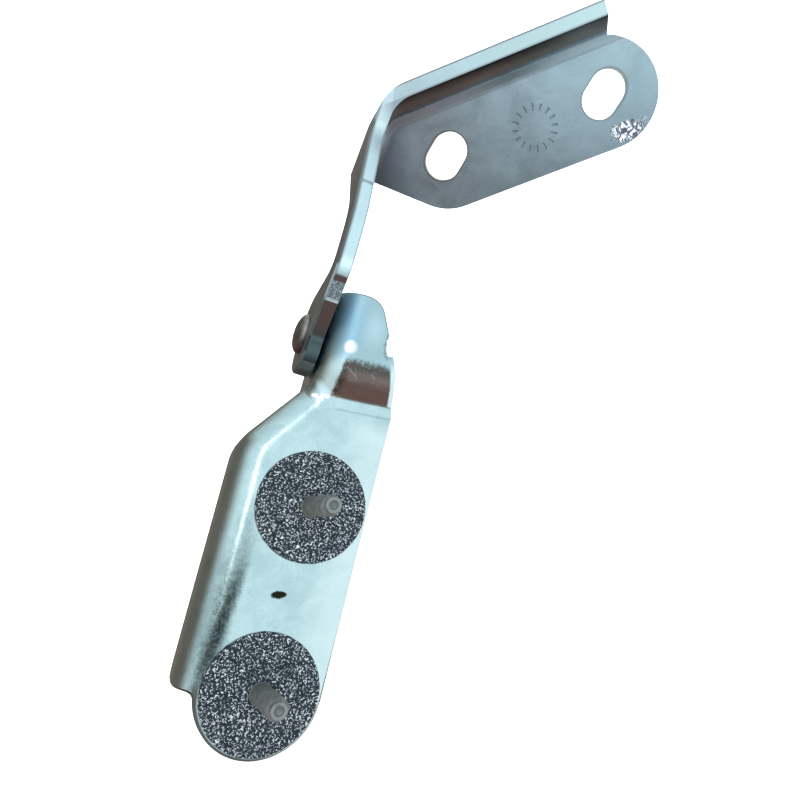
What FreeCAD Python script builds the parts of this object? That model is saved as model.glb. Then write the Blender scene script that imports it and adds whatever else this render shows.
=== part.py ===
"""Bonnet hinge: two pressed leaves joined by one pivot rivet.

The body leaf is a flat pad with two threaded studs and seals, and a side flange that rises into
the pivot lug. The bonnet leaf is a gooseneck arm that opens into a flanged, slotted tray.
Origin: axis of the upper stud, on the seating plane of the seals. The studs point along -Y.
"""
import FreeCAD, Part
import math
import os
import Sketcher

os.makedirs("parts", exist_ok=True)
doc = FreeCAD.newDocument("bonnet_hinge")

# Driving dimensions in millimetres and degrees

SIZES = [
    ("pad_right", 17.0, "pad edge to the right of the studs"),
    ("pad_end_radius", 16.9, "round end of the pad about the lower stud"),
    ("body_sheet", 3.0, "sheet of the body leaf"),
    ("body_bend", 8.5, "outside radius of the bend from pad to flange"),
    ("flange_left", 24.6, "outer face of the side flange, left of the studs, at its upper end"),
    ("flange_low_left", 22.6, "the same at its lower end"),
    ("flange_rear", 8.5, "rear edge of the flange, behind the pivot axis"),
    ("flange_below_stud", 2.6, "lower end of the flange, below the lower stud"),
    ("flange_corner", 5.0, "corner radius at the lower end of the flange"),
    ("relief_radius", 2.5, "relief between the flange end and the round pad end"),
    ("step_low", 13.4, "height where the flange starts to close in on the lug"),
    ("step_high", 35.6, "height where the flange becomes the lug"),
    ("step_low_radius", 14.0, "outside radius at the low end of that slope"),
    ("step_high_radius", 6.0, "outside radius at the high end of that slope"),
    ("lug_radius", 12.0, "pivot lug behind the pivot axis"),
    ("lug_foot", 26.0, "where the lug narrows to the flange, below the pivot axis"),
    ("tab_crease", 32.6, "height of the crease under the tab, at the studs"),
    ("tab_tilt", 6.7, "rise of the crease to the right"),
    ("tab_rise", 7.7, "height of the slope above the crease"),
    ("tab_lead", 6.0, "how far the tab stands in front of the pad"),
    ("tab_crease_radius", 2.5, "radius in the crease"),
    ("tab_knee_radius", 13.0, "radius over the knee above it"),
    ("tab_top", 64.4, "top of the tab and of the lug"),
    ("tab_foot_radius", 8.0, "rounding where the pad narrows to the tab"),
    ("tab_waist_x", 11.4, "right edge of the tab at half height"),
    ("tab_waist_z", 47.5, "height of that point"),
    ("tab_waist_radius", 25.0, "rounding at that point"),
    ("tab_shoulder", 3.2, "right end of the tab's top edge, before rounding"),
    ("tab_round", 6.0, "rounding of that corner"),
    ("edge_break", 0.6, "broken edge on the outside of the blanked body leaf"),
    ("stud_pitch", 50.8, "distance between the studs"),
    ("stud_diameter", 6.0, "thread of the studs"),
    ("stud_shank", 6.5, "plain press-in shank under the seal"),
    ("stud_length", 20.3, "stud beyond the seating plane"),
    ("stud_chamfer", 0.8, "chamfer where the thread ends"),
    ("dog_diameter", 4.4, "dog point of a stud"),
    ("dog_length", 1.8, "length of the dog point"),
    ("dimple_diameter", 2.4, "centre dimple in the dog point"),
    ("dimple_depth", 0.9, "depth of the dimple"),
    ("stud_head_diameter", 12.0, "press-in head on the back of the pad"),
    ("stud_head_height", 1.8, "height of that head"),
    ("seal_diameter", 32.0, "round seal on each stud"),
    ("seal_thickness", 1.0, "thickness of the seal"),
    ("seal_edge", 0.3, "bevelled front edge of the seal"),
    ("press_clearance", 0.05, "radial clearance of parts that do not turn"),
    ("running_clearance", 0.08, "radial clearance of the turning pivot"),
    ("axial_play", 0.12, "side clearance of the turning pivot"),
    ("pivot_x", -8.4, "pivot axis meets the lug face here, sideways"),
    ("pivot_y", 12.9, "the same point, behind the seating plane"),
    ("pivot_z", 51.6, "the same point, above the upper stud"),
    ("pivot_toe", -4.5, "pivot axis turned about the vertical"),
    ("rivet_diameter", 8.0, "shank of the pivot rivet"),
    ("rivet_head_diameter", 12.8, "domed rivet head"),
    ("rivet_head_height", 3.2, "height of the dome"),
    ("rivet_head_rim", 0.6, "straight rim under the dome"),
    ("rivet_tail_diameter", 12.0, "clenched rivet tail"),
    ("rivet_tail_height", 2.4, "height of the clenched tail"),
    ("friction_washer_diameter", 17.0, "washer between the leaves"),
    ("friction_washer_thickness", 0.5, "thickness of that washer"),
    ("backing_washer_diameter", 15.0, "washer under the clenched tail"),
    ("backing_washer_thickness", 1.2, "thickness of that washer"),
    ("bush_wall", 1.0, "wall of the pivot bush"),
    ("leaf_sheet", 4.4, "sheet of the bonnet leaf"),
    ("leaf_edge_break", 0.6, "broken edge on the outside of the blanked bonnet leaf"),
    ("boss_radius", 12.5, "arm about the pivot axis"),
    ("boss_front_corner", 7.0, "corner radius at the foot of the front edge"),
    ("boss_front_height", 3.8, "front edge turns forward here, below the pivot axis"),
    ("boss_front_radius", 3.0, "radius of that turn"),
    ("neck_front", 28.9, "front edge of the neck before the pivot axis"),
    ("neck_depth", 9.6, "front to rear size of the neck"),
    ("neck_low_front", 14.8, "front edge turns upright here, above the pivot axis"),
    ("neck_low_rear", 17.0, "rear edge turns upright here, above the pivot axis"),
    ("neck_high_front", 32.0, "front edge leans back here, above the pivot axis"),
    ("neck_high_rear", 35.0, "rear edge leans back here, above the pivot axis"),
    ("neck_front_radius", 7.0, "radius of the lower front turn"),
    ("neck_rear_radius", 5.0, "radius of the lower rear turn"),
    ("neck_high_radius", 20.0, "radius of the upper turns"),
    ("arm_front_y", 16.3, "front edge of the arm where it meets the tray, before the axis"),
    ("arm_front_z", 66.5, "height of that point above the pivot"),
    ("arm_rim_y", 32.3, "the tray rim carried on past the corner, before the axis"),
    ("arm_rim_z", 92.2, "height of that point above the pivot"),
    ("arm_rear_y", 5.4, "rear edge of the arm where it meets the tray, behind the axis"),
    ("arm_rear_z", 62.0, "height of that point above the pivot"),
    ("arm_rear_radius", 12.0, "rounding of the rear edge at that point"),
    ("tray_y", -4.72, "inner corner of the tray, from the pivot axis"),
    ("tray_z", 76.2, "height of that corner above the pivot"),
    ("tray_yaw", -39.3, "turn of the tray about the vertical"),
    ("tray_pitch", -26.6, "turn of the tray about its cross axis"),
    ("tray_roll", 129.9, "turn of the tray about its long edge"),
    ("tray_depth", 14.0, "inside depth of the tray under its rim"),
    ("tray_bend", 8.0, "outside bend radius round the tray floor"),
    ("tray_corner", 12.0, "outside corner radius between arm and flange"),
    ("flange_lean", 17.0, "outward lean of the tray flange"),
    ("flange_end", 78.4, "end of the tray flange, from the inner corner"),
    ("slot_first", 17.2, "first slot along the flange, from the inner corner"),
    ("slot_pitch", 55.5, "second slot beyond the first"),
    ("slot_drop", 16.2, "slot centres below the inner corner"),
    ("slot_width", 12.0, "width of a slot"),
    ("slot_length", 16.4, "overall length of a slot"),
    ("slot_angle", 37.5, "slot direction from the flange line"),
    ("lobe_radius", 17.5, "rounding of the tray floor about the slots"),
    ("toe_x", 12.3, "tray floor meets the arm wall here, back along the flange"),
    ("toe_y", 12.7, "the same point, below the inner corner"),
    ("toe_corner", 11.1, "sloping floor edge would meet the long edge here"),
]

sheet = doc.addObject("Spreadsheet::Sheet", "sizes")
for row, (name, number, note) in enumerate(SIZES, start=1):
    sheet.set("A%d" % row, name)
    sheet.set("B%d" % row, str(number))
    sheet.set("C%d" % row, note)
    sheet.setAlias("B%d" % row, name)
doc.recompute()


class Size:
    """A number together with the sheet expression that gives it."""

    def __init__(self, number, text):
        self.number = number
        self.text = text

    def _join(self, other, sign, number):
        if not isinstance(other, Size):
            other = Size(other, repr(float(other)))
        return Size(number(self.number, other.number), "(%s %s %s)" % (self.text, sign, other.text))

    def __add__(self, other):
        return self._join(other, "+", lambda a, b: a + b)

    def __sub__(self, other):
        return self._join(other, "-", lambda a, b: a - b)

    def __mul__(self, other):
        return self._join(other, "*", lambda a, b: a * b)

    def __truediv__(self, other):
        return self._join(other, "/", lambda a, b: a / b)

    def __neg__(self):
        return Size(-self.number, "(0 - %s)" % self.text)


def trig(name, angle):
    return Size(getattr(math, name)(math.radians(angle.number)), "%s(%s)" % (name, angle.text))


def fixed(number):
    return Size(number, repr(float(number)))


def half_turn(across, along):
    """Tangent of half the angle between the upright and a slope of the given run and rise."""
    angle = math.degrees(math.atan2(across.number, along.number))
    return trig("tan", Size(angle, "atan2(%s; %s)" % (across.text, along.text)) / 2)


s = {name: Size(float(sheet.get(name)), "sizes." + name) for name, _, _ in SIZES}

# Values that several pieces share

zero = fixed(0.0)
reach = fixed(150.0)
margin = fixed(5.0)
pad_front = s["seal_thickness"]
pad_back = pad_front + s["body_sheet"]
stud_hole = s["stud_shank"] / 2 + s["press_clearance"]
toe_cos = trig("cos", s["pivot_toe"])
toe_sin = trig("sin", s["pivot_toe"])
pivot_aside = s["pivot_x"] * toe_cos + s["pivot_y"] * toe_sin
flange_x = zero - s["flange_left"] - pivot_aside
flange_low_end = s["stud_pitch"] + s["flange_below_stud"]
flange_taper = (s["flange_left"] - s["flange_low_left"]) / (s["step_low"] + flange_low_end)
arm_inner = zero - s["friction_washer_thickness"] - s["axial_play"]
arm_outer = arm_inner - s["leaf_sheet"]
rivet_radius = s["rivet_diameter"] / 2
bush_inner = rivet_radius + s["running_clearance"]
bush_outer = bush_inner + s["bush_wall"]
lug_hole = bush_outer + s["press_clearance"]
tail_seat = s["body_sheet"] + s["backing_washer_thickness"] + s["axial_play"]


def bind(item, **sizes):
    for name, size in sizes.items():
        item.setExpression(name, size.text)


def place(item, x=zero, y=zero, z=zero, yaw=zero, pitch=zero, roll=zero):
    item.setExpression("Placement", "placement(vector(%s; %s; %s); rotation(%s; %s; %s))" % (
        x.text, y.text, z.text, yaw.text, pitch.text, roll.text))


def on_hinge(item):
    """Puts an item that is drawn about the pivot axis where the pivot is."""
    place(item, s["pivot_x"], s["pivot_y"], s["pivot_z"], s["pivot_toe"])


TURN = {
    "XY": FreeCAD.Rotation(),
    "XZ": FreeCAD.Rotation(FreeCAD.Vector(1, 0, 0), 90),
    "YZ": FreeCAD.Rotation(FreeCAD.Vector(0.57735, 0.57735, 0.57735), 120),
}


def outline(name, plane, corners):
    """A closed sketch through the corners (u, v, radius), each one rounded where it has a radius."""
    sketch = doc.addObject("Sketcher::SketchObject", name)
    sketch.Placement = FreeCAD.Placement(FreeCAD.Vector(), TURN[plane])
    count = len(corners)
    points = [FreeCAD.Vector(u.number, v.number, 0) for u, v, _ in corners]
    starts, ends, rounds = {}, {}, {}
    for i, (u, v, radius) in enumerate(corners):
        here, before, after = points[i], points[i - 1], points[(i + 1) % count]
        if radius is None:
            starts[i] = ends[i] = here
            continue
        back = (before - here).normalize()
        forth = (after - here).normalize()
        half = back.getAngle(forth) / 2
        reach = radius.number / math.tan(half)
        ends[i] = here + back * reach
        starts[i] = here + forth * reach
        middle = here + (back + forth).normalize() * (radius.number / math.sin(half))
        rounds[i] = (middle, ends[i], starts[i])
    lines = []
    for i in range(count):
        j = (i + 1) % count
        lines.append(sketch.addGeometry(Part.LineSegment(starts[i], ends[j]), False))
    for i, (u, v, radius) in enumerate(corners):
        line_in, line_out = lines[i - 1], lines[i]
        if radius is None:
            sketch.addConstraint(Sketcher.Constraint("Coincident", line_in, 2, line_out, 1))
            pin(sketch, line_out, 1, u, v)
            continue
        middle, first, last = rounds[i]
        leftward = (first - middle).cross(last - middle).z > 0
        start, end = (first, last) if leftward else (last, first)
        first_end = 1 if leftward else 2
        circle = Part.Circle(middle, FreeCAD.Vector(0, 0, 1), radius.number)
        angles = [math.atan2(point.y - middle.y, point.x - middle.x) for point in (start, end)]
        arc = sketch.addGeometry(Part.ArcOfCircle(circle, *angles), False)
        sketch.addConstraint(Sketcher.Constraint("Tangent", line_in, 2, arc, first_end))
        sketch.addConstraint(Sketcher.Constraint("Tangent", arc, 3 - first_end, line_out, 1))
        limit = sketch.addConstraint(Sketcher.Constraint("Radius", arc, radius.number))
        sketch.setExpression("Constraints[%d]" % limit, radius.text)
        corner = sketch.addGeometry(Part.Point(points[i]), True)
        sketch.addConstraint(Sketcher.Constraint("PointOnObject", corner, 1, line_in))
        sketch.addConstraint(Sketcher.Constraint("PointOnObject", corner, 1, line_out))
        pin(sketch, corner, 1, u, v)
    return sketch


def pin(sketch, geometry, end, u, v):
    """Holds a sketch point at u, v."""
    for kind, size in (("DistanceX", u), ("DistanceY", v)):
        held = sketch.addConstraint(Sketcher.Constraint(kind, -1, 1, geometry, end, size.number))
        sketch.setExpression("Constraints[%d]" % held, size.text)


def extrude(name, sketch, forward, backward=zero):
    solid = doc.addObject("Part::Extrusion", name)
    solid.Base = sketch
    solid.DirMode = "Normal"
    solid.Solid = True
    bind(solid, LengthFwd=forward, LengthRev=backward)
    return solid


def combine(kind, name, *items):
    """Part::Cut takes two items, Part::MultiFuse and Part::MultiCommon take any number."""
    solid = doc.addObject(kind, name)
    if kind == "Part::Cut":
        solid.Base, solid.Tool = items
    else:
        solid.Shapes = list(items)
    return solid


def round_edges(name, item, radius, test, kind="Part::Fillet"):
    """Rounds or bevels the edges whose middle point passes the test."""
    doc.recompute()
    chosen = []
    for number, edge in enumerate(item.Shape.Edges, start=1):
        middle = edge.valueAt((edge.FirstParameter + edge.LastParameter) / 2)
        if test(middle):
            chosen.append((number, radius.number, radius.number))
    solid = doc.addObject(kind, name)
    solid.Base = item
    solid.Edges = chosen
    return solid


def cylinder(name, radius, height):
    solid = doc.addObject("Part::Cylinder", name)
    bind(solid, Radius=radius, Height=height)
    return solid


def turned(name, corners, axis):
    """A solid of revolution of the outline about the X or the Y axis."""
    sketch = outline(name + "_profile", "XY", corners)
    solid = doc.addObject("Part::Revolution", name)
    solid.Source = sketch
    solid.Axis = axis
    solid.Angle = 360
    solid.Solid = True
    return solid


X_AXIS = FreeCAD.Vector(1, 0, 0)
Y_AXIS = FreeCAD.Vector(0, 1, 0)


# Body leaf: the outside and the inside of the pressing are two blocks a sheet apart


def on_pivot(point):
    """A point of the row seen from the pivot, with the pivot axis along X."""
    moved = point - FreeCAD.Vector(s["pivot_x"].number, s["pivot_y"].number, s["pivot_z"].number)
    return FreeCAD.Rotation(FreeCAD.Vector(0, 0, 1), -s["pivot_toe"].number).multVec(moved)


def body_block(name, depth):
    """The body leaf as a block, with its front and its left side moved in by the depth."""
    slope = half_turn(s["tab_lead"], s["tab_rise"])
    front = pad_front + depth
    crease = s["tab_crease"] + depth * slope
    side = outline(name + "_front", "YZ", [
        (front, zero - reach, None),
        (front, crease, s["tab_crease_radius"] + depth),
        (front - s["tab_lead"], crease + s["tab_rise"], s["tab_knee_radius"] - depth),
        (front - s["tab_lead"], reach, None),
        (reach, reach, None),
        (reach, zero - reach, None),
    ])
    forward = doc.addObject("Part::Extrusion", name + "_across")
    forward.Base = side
    forward.DirMode = "Custom"
    forward.Solid = True
    bind(forward, LengthFwd=reach, LengthRev=reach)
    forward.setExpression("Dir", "vector(cos(sizes.tab_tilt); 0; sin(sizes.tab_tilt))")
    low = s["step_low"] - s["pivot_z"]
    high = s["step_high"] - s["pivot_z"]
    closing = half_turn(zero - flange_x, high - low)
    left = outline(name + "_left", "XZ", [
        (flange_x + flange_taper * (low + reach) + depth, zero - reach, None),
        (flange_x + depth, low - depth * closing, s["step_low_radius"] - depth),
        (depth, high - depth * closing, s["step_high_radius"] + depth),
        (depth, reach, None),
        (reach, reach, None),
        (reach, zero - reach, None),
    ])
    inward = extrude(name + "_inward", left, reach, reach)
    on_hinge(inward)
    block = combine("Part::MultiCommon", name + "_block", forward, inward)

    def on_ridge(middle):
        aside = on_pivot(middle).x < depth.number + 1
        ahead = middle.y < front.number + 1
        return aside and ahead and abs(middle.z) < reach.number * 0.8

    return round_edges(name + "_round", block, s["body_bend"] - depth, on_ridge)


body_out = body_block("body_out", zero)
pressing = combine("Part::Cut", "body_pressing", body_out, body_block("body_in", s["body_sheet"]))

pad_outline = outline("pad_outline", "XZ", [
    (s["pad_right"], zero - s["stud_pitch"], None),
    (s["pad_right"], s["tab_crease"], s["tab_foot_radius"]),
    (s["tab_waist_x"], s["tab_waist_z"], s["tab_waist_radius"]),
    (s["tab_shoulder"], s["tab_top"], s["tab_round"]),
    (zero - reach, s["tab_top"], None),
    (zero - reach, zero - flange_low_end, None),
    (zero, zero - flange_low_end, None),
    (zero, zero - s["stud_pitch"], None),
])
pad_prism = extrude("pad_prism", pad_outline, reach, pad_back)
pad_end = cylinder("pad_end", s["pad_end_radius"], reach + pad_back)
place(pad_end, zero, pad_back, zero - s["stud_pitch"], roll=fixed(90.0))
pad_area = combine("Part::MultiFuse", "pad_area", pad_prism, pad_end)


def in_relief(middle):
    low_enough = abs(middle.z + flange_low_end.number) < 0.5
    inside = -s["flange_left"].number < middle.x < -s["pad_end_radius"].number / 2
    return low_enough and inside and abs(middle.y) < reach.number * 0.6


flange_outline = outline("flange_outline", "YZ", [
    (zero - reach, zero - flange_low_end - s["pivot_z"], None),
    (s["flange_rear"], zero - flange_low_end - s["pivot_z"], s["flange_corner"]),
    (s["flange_rear"], zero - s["lug_foot"], s["lug_radius"]),
    (s["lug_radius"], zero - s["lug_foot"] / 2, s["lug_radius"]),
    (s["lug_radius"], s["tab_top"] - s["pivot_z"], s["lug_radius"] - 0.5),
    (zero - reach, s["tab_top"] - s["pivot_z"], None),
])
flange_area = extrude("flange_area", flange_outline, s["body_sheet"], reach)
on_hinge(flange_area)

body_area = combine("Part::MultiFuse", "body_area",
                    round_edges("pad_relief", pad_area, s["relief_radius"], in_relief), flange_area)
body_blank = combine("Part::MultiCommon", "body_blank", pressing, body_area)

upper_hole = cylinder("upper_hole", stud_hole, margin * 4)
place(upper_hole, zero, margin * 2, zero, roll=fixed(90.0))
lower_hole = cylinder("lower_hole", stud_hole, margin * 4)
place(lower_hole, zero, margin * 2, zero - s["stud_pitch"], roll=fixed(90.0))
bush_hole = cylinder("bush_hole", lug_hole, margin * 4)
bush_hole.setExpression("Placement", (
    "placement(vector(sizes.pivot_x; sizes.pivot_y; sizes.pivot_z); rotation(sizes.pivot_toe; 90; 0))"
    " * placement(vector(0; 0; -%s); rotation(0; 0; 0))" % (margin * 2).text))
body_holes = combine("Part::MultiFuse", "body_holes", upper_hole, lower_hole, bush_hole)
body_sharp = combine("Part::Cut", "body_sharp", body_blank, body_holes)


def corner_angle(solid, edge):
    """Angle between the two faces at the middle of an edge, in degrees."""
    middle = edge.valueAt((edge.FirstParameter + edge.LastParameter) / 2)
    normals = []
    for face in solid.ancestorsOfType(edge, Part.Face):
        normals.append(face.normalAt(*face.Surface.parameter(middle)))
    if len(normals) < 2:
        return 0.0
    return math.degrees(normals[0].getAngle(normals[1]))


def on_skin(block, point):
    """True where the point lies on the surface of the block."""
    return block.isInside(point, 0.001, True) and not block.isInside(point, 0.001, False)


def break_edges(name, item, block, width, test):
    """Bevels the blanked edges on the outside of a pressing where the test allows it."""
    doc.recompute()
    chosen = []
    for number, edge in enumerate(item.Shape.Edges, start=1):
        middle = edge.valueAt((edge.FirstParameter + edge.LastParameter) / 2)
        if test(middle) and on_skin(block.Shape, middle) and corner_angle(item.Shape, edge) > 60:
            chosen.append((number, width.number, width.number))
    solid = doc.addObject("Part::Chamfer", name)
    solid.Base = item
    solid.Edges = chosen
    return solid


def on_pad_rim(middle):
    nearest = min(math.hypot(middle.x, middle.z), math.hypot(middle.x, middle.z + s["stud_pitch"].number))
    ahead = middle.y < pad_front.number + 0.1
    return ahead and nearest > stud_hole.number + 0.5 and middle.x > -s["pad_end_radius"].number * 0.6


body_leaf = break_edges("body_leaf", body_sharp, body_out, s["edge_break"], on_pad_rim)

# Bonnet leaf, drawn about the pivot axis: arm wall, tray floor and leaning flange


def in_tray(item):
    """Puts an item that is drawn from the tray's inner corner where the tray is."""
    place(item, arm_inner, s["tray_y"], s["tray_z"], s["tray_yaw"], s["tray_pitch"], s["tray_roll"])


def tray_point(point):
    turn = FreeCAD.Rotation(s["tray_yaw"].number, s["tray_pitch"].number, s["tray_roll"].number)
    corner = FreeCAD.Vector(arm_inner.number, s["tray_y"].number, s["tray_z"].number)
    return turn.inverted().multVec(point - corner)


def leaf_block(name, depth):
    """The bonnet leaf as a block, with the arm, floor and flange sides moved in by the depth."""
    wall = doc.addObject("Part::Box", name + "_wall")
    bind(wall, Length=reach, Width=reach * 2, Height=reach * 2)
    place(wall, arm_outer + depth, zero - reach, zero - reach)
    out = s["leaf_sheet"] - depth
    lean_out = out / trig("cos", s["flange_lean"])
    lean_tan = trig("tan", s["flange_lean"])
    section = outline(name + "_section", "YZ", [
        (lean_out - out * lean_tan, zero - out, None),
        (lean_out + reach * lean_tan, reach, None),
        (zero - reach, reach, None),
        (zero - reach, zero - out, None),
    ])
    channel = extrude(name + "_channel", section, reach, reach)
    in_tray(channel)
    block = combine("Part::MultiCommon", name + "_block", wall, channel)

    def at_corner(middle):
        local = tray_point(middle)
        level = -out.number + 1 < local.z < reach.number * 0.9
        on_wall = abs(middle.x - arm_outer.number - depth.number) < 0.01
        lean = math.radians(s["flange_lean"].number)
        on_flange = abs(local.y * math.cos(lean) - local.z * math.sin(lean) - out.number) < 0.01
        return level and on_wall and on_flange

    corner = round_edges(name + "_corner", block, s["tray_corner"] - depth, at_corner)

    def on_floor_edge(middle):
        local = tray_point(middle)
        inside = local.y > -reach.number * 0.9 and local.x < reach.number * 0.9
        return inside and abs(local.z + out.number) < 0.01

    return round_edges(name + "_round", corner, s["tray_bend"] - depth, on_floor_edge)


leaf_out = leaf_block("leaf_out", zero)
leaf_pressing = combine("Part::Cut", "leaf_pressing", leaf_out, leaf_block("leaf_in", s["leaf_sheet"]))

ALMOST_ROUND = 0.98  # leaves a short flat between two corner arcs
neck_rear = zero - s["neck_front"] + s["neck_depth"]
boss = s["boss_radius"]
arm_outline = outline("arm_outline", "YZ", [
    (boss, zero - boss, boss * ALMOST_ROUND),
    (boss, boss, boss * ALMOST_ROUND),
    (neck_rear, s["neck_low_rear"], s["neck_rear_radius"]),
    (neck_rear, s["neck_high_rear"], s["neck_high_radius"]),
    (s["arm_rear_y"], s["arm_rear_z"], s["arm_rear_radius"]),
    (reach, reach, None),
    (zero - s["arm_rim_y"], reach, None),
    (zero - s["arm_rim_y"], s["arm_rim_z"], None),
    (zero - s["arm_front_y"], s["arm_front_z"], s["neck_front_radius"]),
    (zero - s["neck_front"], s["neck_high_front"], s["neck_high_radius"]),
    (zero - s["neck_front"], s["neck_low_front"], s["neck_front_radius"]),
    (zero - boss, zero - s["boss_front_height"], s["boss_front_radius"]),
    (zero - boss, zero - boss, s["boss_front_corner"]),
])
arm_prism = extrude("arm_prism", arm_outline, s["leaf_sheet"] * 1.1)
place(arm_prism, arm_outer)


def on_outer_side(middle):
    return abs(middle.x - arm_outer.number) < 0.01


arm_area = round_edges("arm_area", arm_prism, s["leaf_edge_break"], on_outer_side, "Part::Chamfer")

floor_level = zero - s["slot_drop"]
floor_low = floor_level - s["lobe_radius"]
second = s["slot_first"] + s["slot_pitch"]
tray_outline = outline("tray_outline", "XY", [
    (s["flange_end"], reach, None),
    (zero - reach, reach, None),
    (zero - s["toe_x"] * 2 - s["toe_corner"], floor_low - floor_low * 2 - s["toe_y"] * 2, None),
    (s["toe_corner"], floor_low, s["lobe_radius"]),
    (second, floor_low, None),
    (second, floor_level, None),
    (s["flange_end"], floor_level, None),
])
tray_area = extrude("tray_area", tray_outline, s["tray_depth"], s["leaf_sheet"] * 2)
in_tray(tray_area)
end_lobe = cylinder("end_lobe", s["lobe_radius"], s["leaf_sheet"] * 2)
end_lobe.setExpression("Placement", (
    "placement(vector(%s; sizes.tray_y; sizes.tray_z); rotation(sizes.tray_yaw; sizes.tray_pitch; sizes.tray_roll))"
    " * placement(vector(%s; %s; %s); rotation(0; 0; 0))" % (
        arm_inner.text, second.text, floor_level.text, (zero - s["leaf_sheet"] * 1.8).text)))
leaf_area = combine("Part::MultiFuse", "leaf_area", arm_area, tray_area, end_lobe)
leaf_blank = combine("Part::MultiCommon", "leaf_blank", leaf_pressing, leaf_area)


def slot(name, along):
    """A slanting slot as a rounded prism through the tray floor."""
    half = (s["slot_length"] - s["slot_width"]) / 2
    run = half * trig("cos", s["slot_angle"])
    rise = half * trig("sin", s["slot_angle"])
    low = (along - run, floor_level - rise)
    high = (along + run, floor_level + rise)
    side_x = s["slot_width"] / 2 * trig("sin", s["slot_angle"])
    side_y = s["slot_width"] / 2 * trig("cos", s["slot_angle"])
    middle = outline(name + "_middle", "XY", [
        (low[0] + side_x, low[1] - side_y, None),
        (high[0] + side_x, high[1] - side_y, None),
        (high[0] - side_x, high[1] + side_y, None),
        (low[0] - side_x, low[1] + side_y, None),
    ])
    parts = [extrude(name + "_span", middle, margin, margin * 2)]
    in_tray(parts[0])
    for end, (x, y) in (("low", low), ("high", high)):
        round_end = cylinder(name + "_" + end, s["slot_width"] / 2, margin * 3)
        round_end.setExpression("Placement", (
            "placement(vector(%s; sizes.tray_y; sizes.tray_z);"
            " rotation(sizes.tray_yaw; sizes.tray_pitch; sizes.tray_roll))"
            " * placement(vector(%s; %s; %s); rotation(0; 0; 0))" % (
                arm_inner.text, x.text, y.text, (zero - margin * 2).text)))
        parts.append(round_end)
    return combine("Part::MultiFuse", name, *parts)


rivet_hole = cylinder("rivet_hole", rivet_radius + s["press_clearance"], margin * 4)
place(rivet_hole, zero - margin * 3, pitch=fixed(90.0))
leaf_holes = combine("Part::MultiFuse", "leaf_holes",
                     slot("first_slot", s["slot_first"]), slot("second_slot", second), rivet_hole)
leaf_sharp = combine("Part::Cut", "leaf_sharp", leaf_blank, leaf_holes)


def on_rim(middle):
    return abs(tray_point(middle).z - s["tray_depth"].number) < 0.01


bonnet_leaf = break_edges("bonnet_leaf", leaf_sharp, leaf_out, s["leaf_edge_break"], on_rim)
on_hinge(bonnet_leaf)

# Pivot: rivet, bush and two washers, turned about the pivot axis

DOME_FLAT = 0.35  # share of the head radius that stays flat on top
DOME_SHOULDER = 0.75  # share of the head radius at the shoulder of the dome
DOME_DROP = 0.3  # share of the dome height at that shoulder
head_radius = s["rivet_head_diameter"] / 2
head_top = arm_outer - s["rivet_head_height"]
tail_radius = s["rivet_tail_diameter"] / 2
tail_end = tail_seat + s["rivet_tail_height"]
pivot_rivet = turned("pivot_rivet", [
    (head_top, zero, None),
    (head_top, head_radius * DOME_FLAT, None),
    (head_top + s["rivet_head_height"] * DOME_DROP, head_radius * DOME_SHOULDER, None),
    (arm_outer - s["rivet_head_rim"], head_radius, None),
    (arm_outer, head_radius, None),
    (arm_outer, rivet_radius, None),
    (tail_seat, rivet_radius, None),
    (tail_seat, tail_radius, None),
    (tail_end - s["rivet_tail_height"] / 2, tail_radius, None),
    (tail_end, tail_radius * 0.7, None),
    (tail_end, zero, None),
], X_AXIS)
on_hinge(pivot_rivet)


def ring(name, start, length, inner, outer):
    """A flat ring about the pivot axis."""
    solid = turned(name, [
        (start, inner, None),
        (start, outer, None),
        (start + length, outer, None),
        (start + length, inner, None),
    ], X_AXIS)
    on_hinge(solid)
    return solid


friction_washer = ring("friction_washer", zero - s["friction_washer_thickness"],
                       s["friction_washer_thickness"], bush_inner, s["friction_washer_diameter"] / 2)
pivot_bush = ring("pivot_bush", zero, s["body_sheet"], bush_inner, bush_outer)
backing_washer = ring("backing_washer", s["body_sheet"], s["backing_washer_thickness"],
                      bush_inner, s["backing_washer_diameter"] / 2)

# Studs and seals, turned about the Y axis and set at the two stud positions

stud_radius = s["stud_diameter"] / 2
dog_radius = s["dog_diameter"] / 2
thread_end = s["dog_length"] - s["stud_length"]


def stud(name, height):
    """A press-in stud: head behind the pad, plain thread body, dog point with a centre dimple."""
    solid = turned(name, [
        (zero, pad_back + s["stud_head_height"], None),
        (zero, s["dimple_depth"] - s["stud_length"], None),
        (s["dimple_diameter"] / 2, zero - s["stud_length"], None),
        (dog_radius, zero - s["stud_length"], None),
        (dog_radius, thread_end, None),
        (stud_radius, thread_end + s["stud_chamfer"], None),
        (stud_radius, zero, None),
        (s["stud_shank"] / 2, zero, None),
        (s["stud_shank"] / 2, pad_back, None),
        (s["stud_head_diameter"] / 2, pad_back, None),
        (s["stud_head_diameter"] / 2, pad_back + s["stud_head_height"] / 2, None),
        (s["stud_head_diameter"] / 2 - s["stud_head_height"] / 2, pad_back + s["stud_head_height"], None),
    ], Y_AXIS)
    place(solid, zero, zero, height)
    return solid


def seal(name, height):
    solid = turned(name, [
        (stud_hole, zero, None),
        (s["seal_diameter"] / 2 - s["seal_edge"], zero, None),
        (s["seal_diameter"] / 2, s["seal_edge"], None),
        (s["seal_diameter"] / 2, s["seal_thickness"], None),
        (stud_hole, s["seal_thickness"], None),
    ], Y_AXIS)
    place(solid, zero, zero, height)
    return solid


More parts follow.
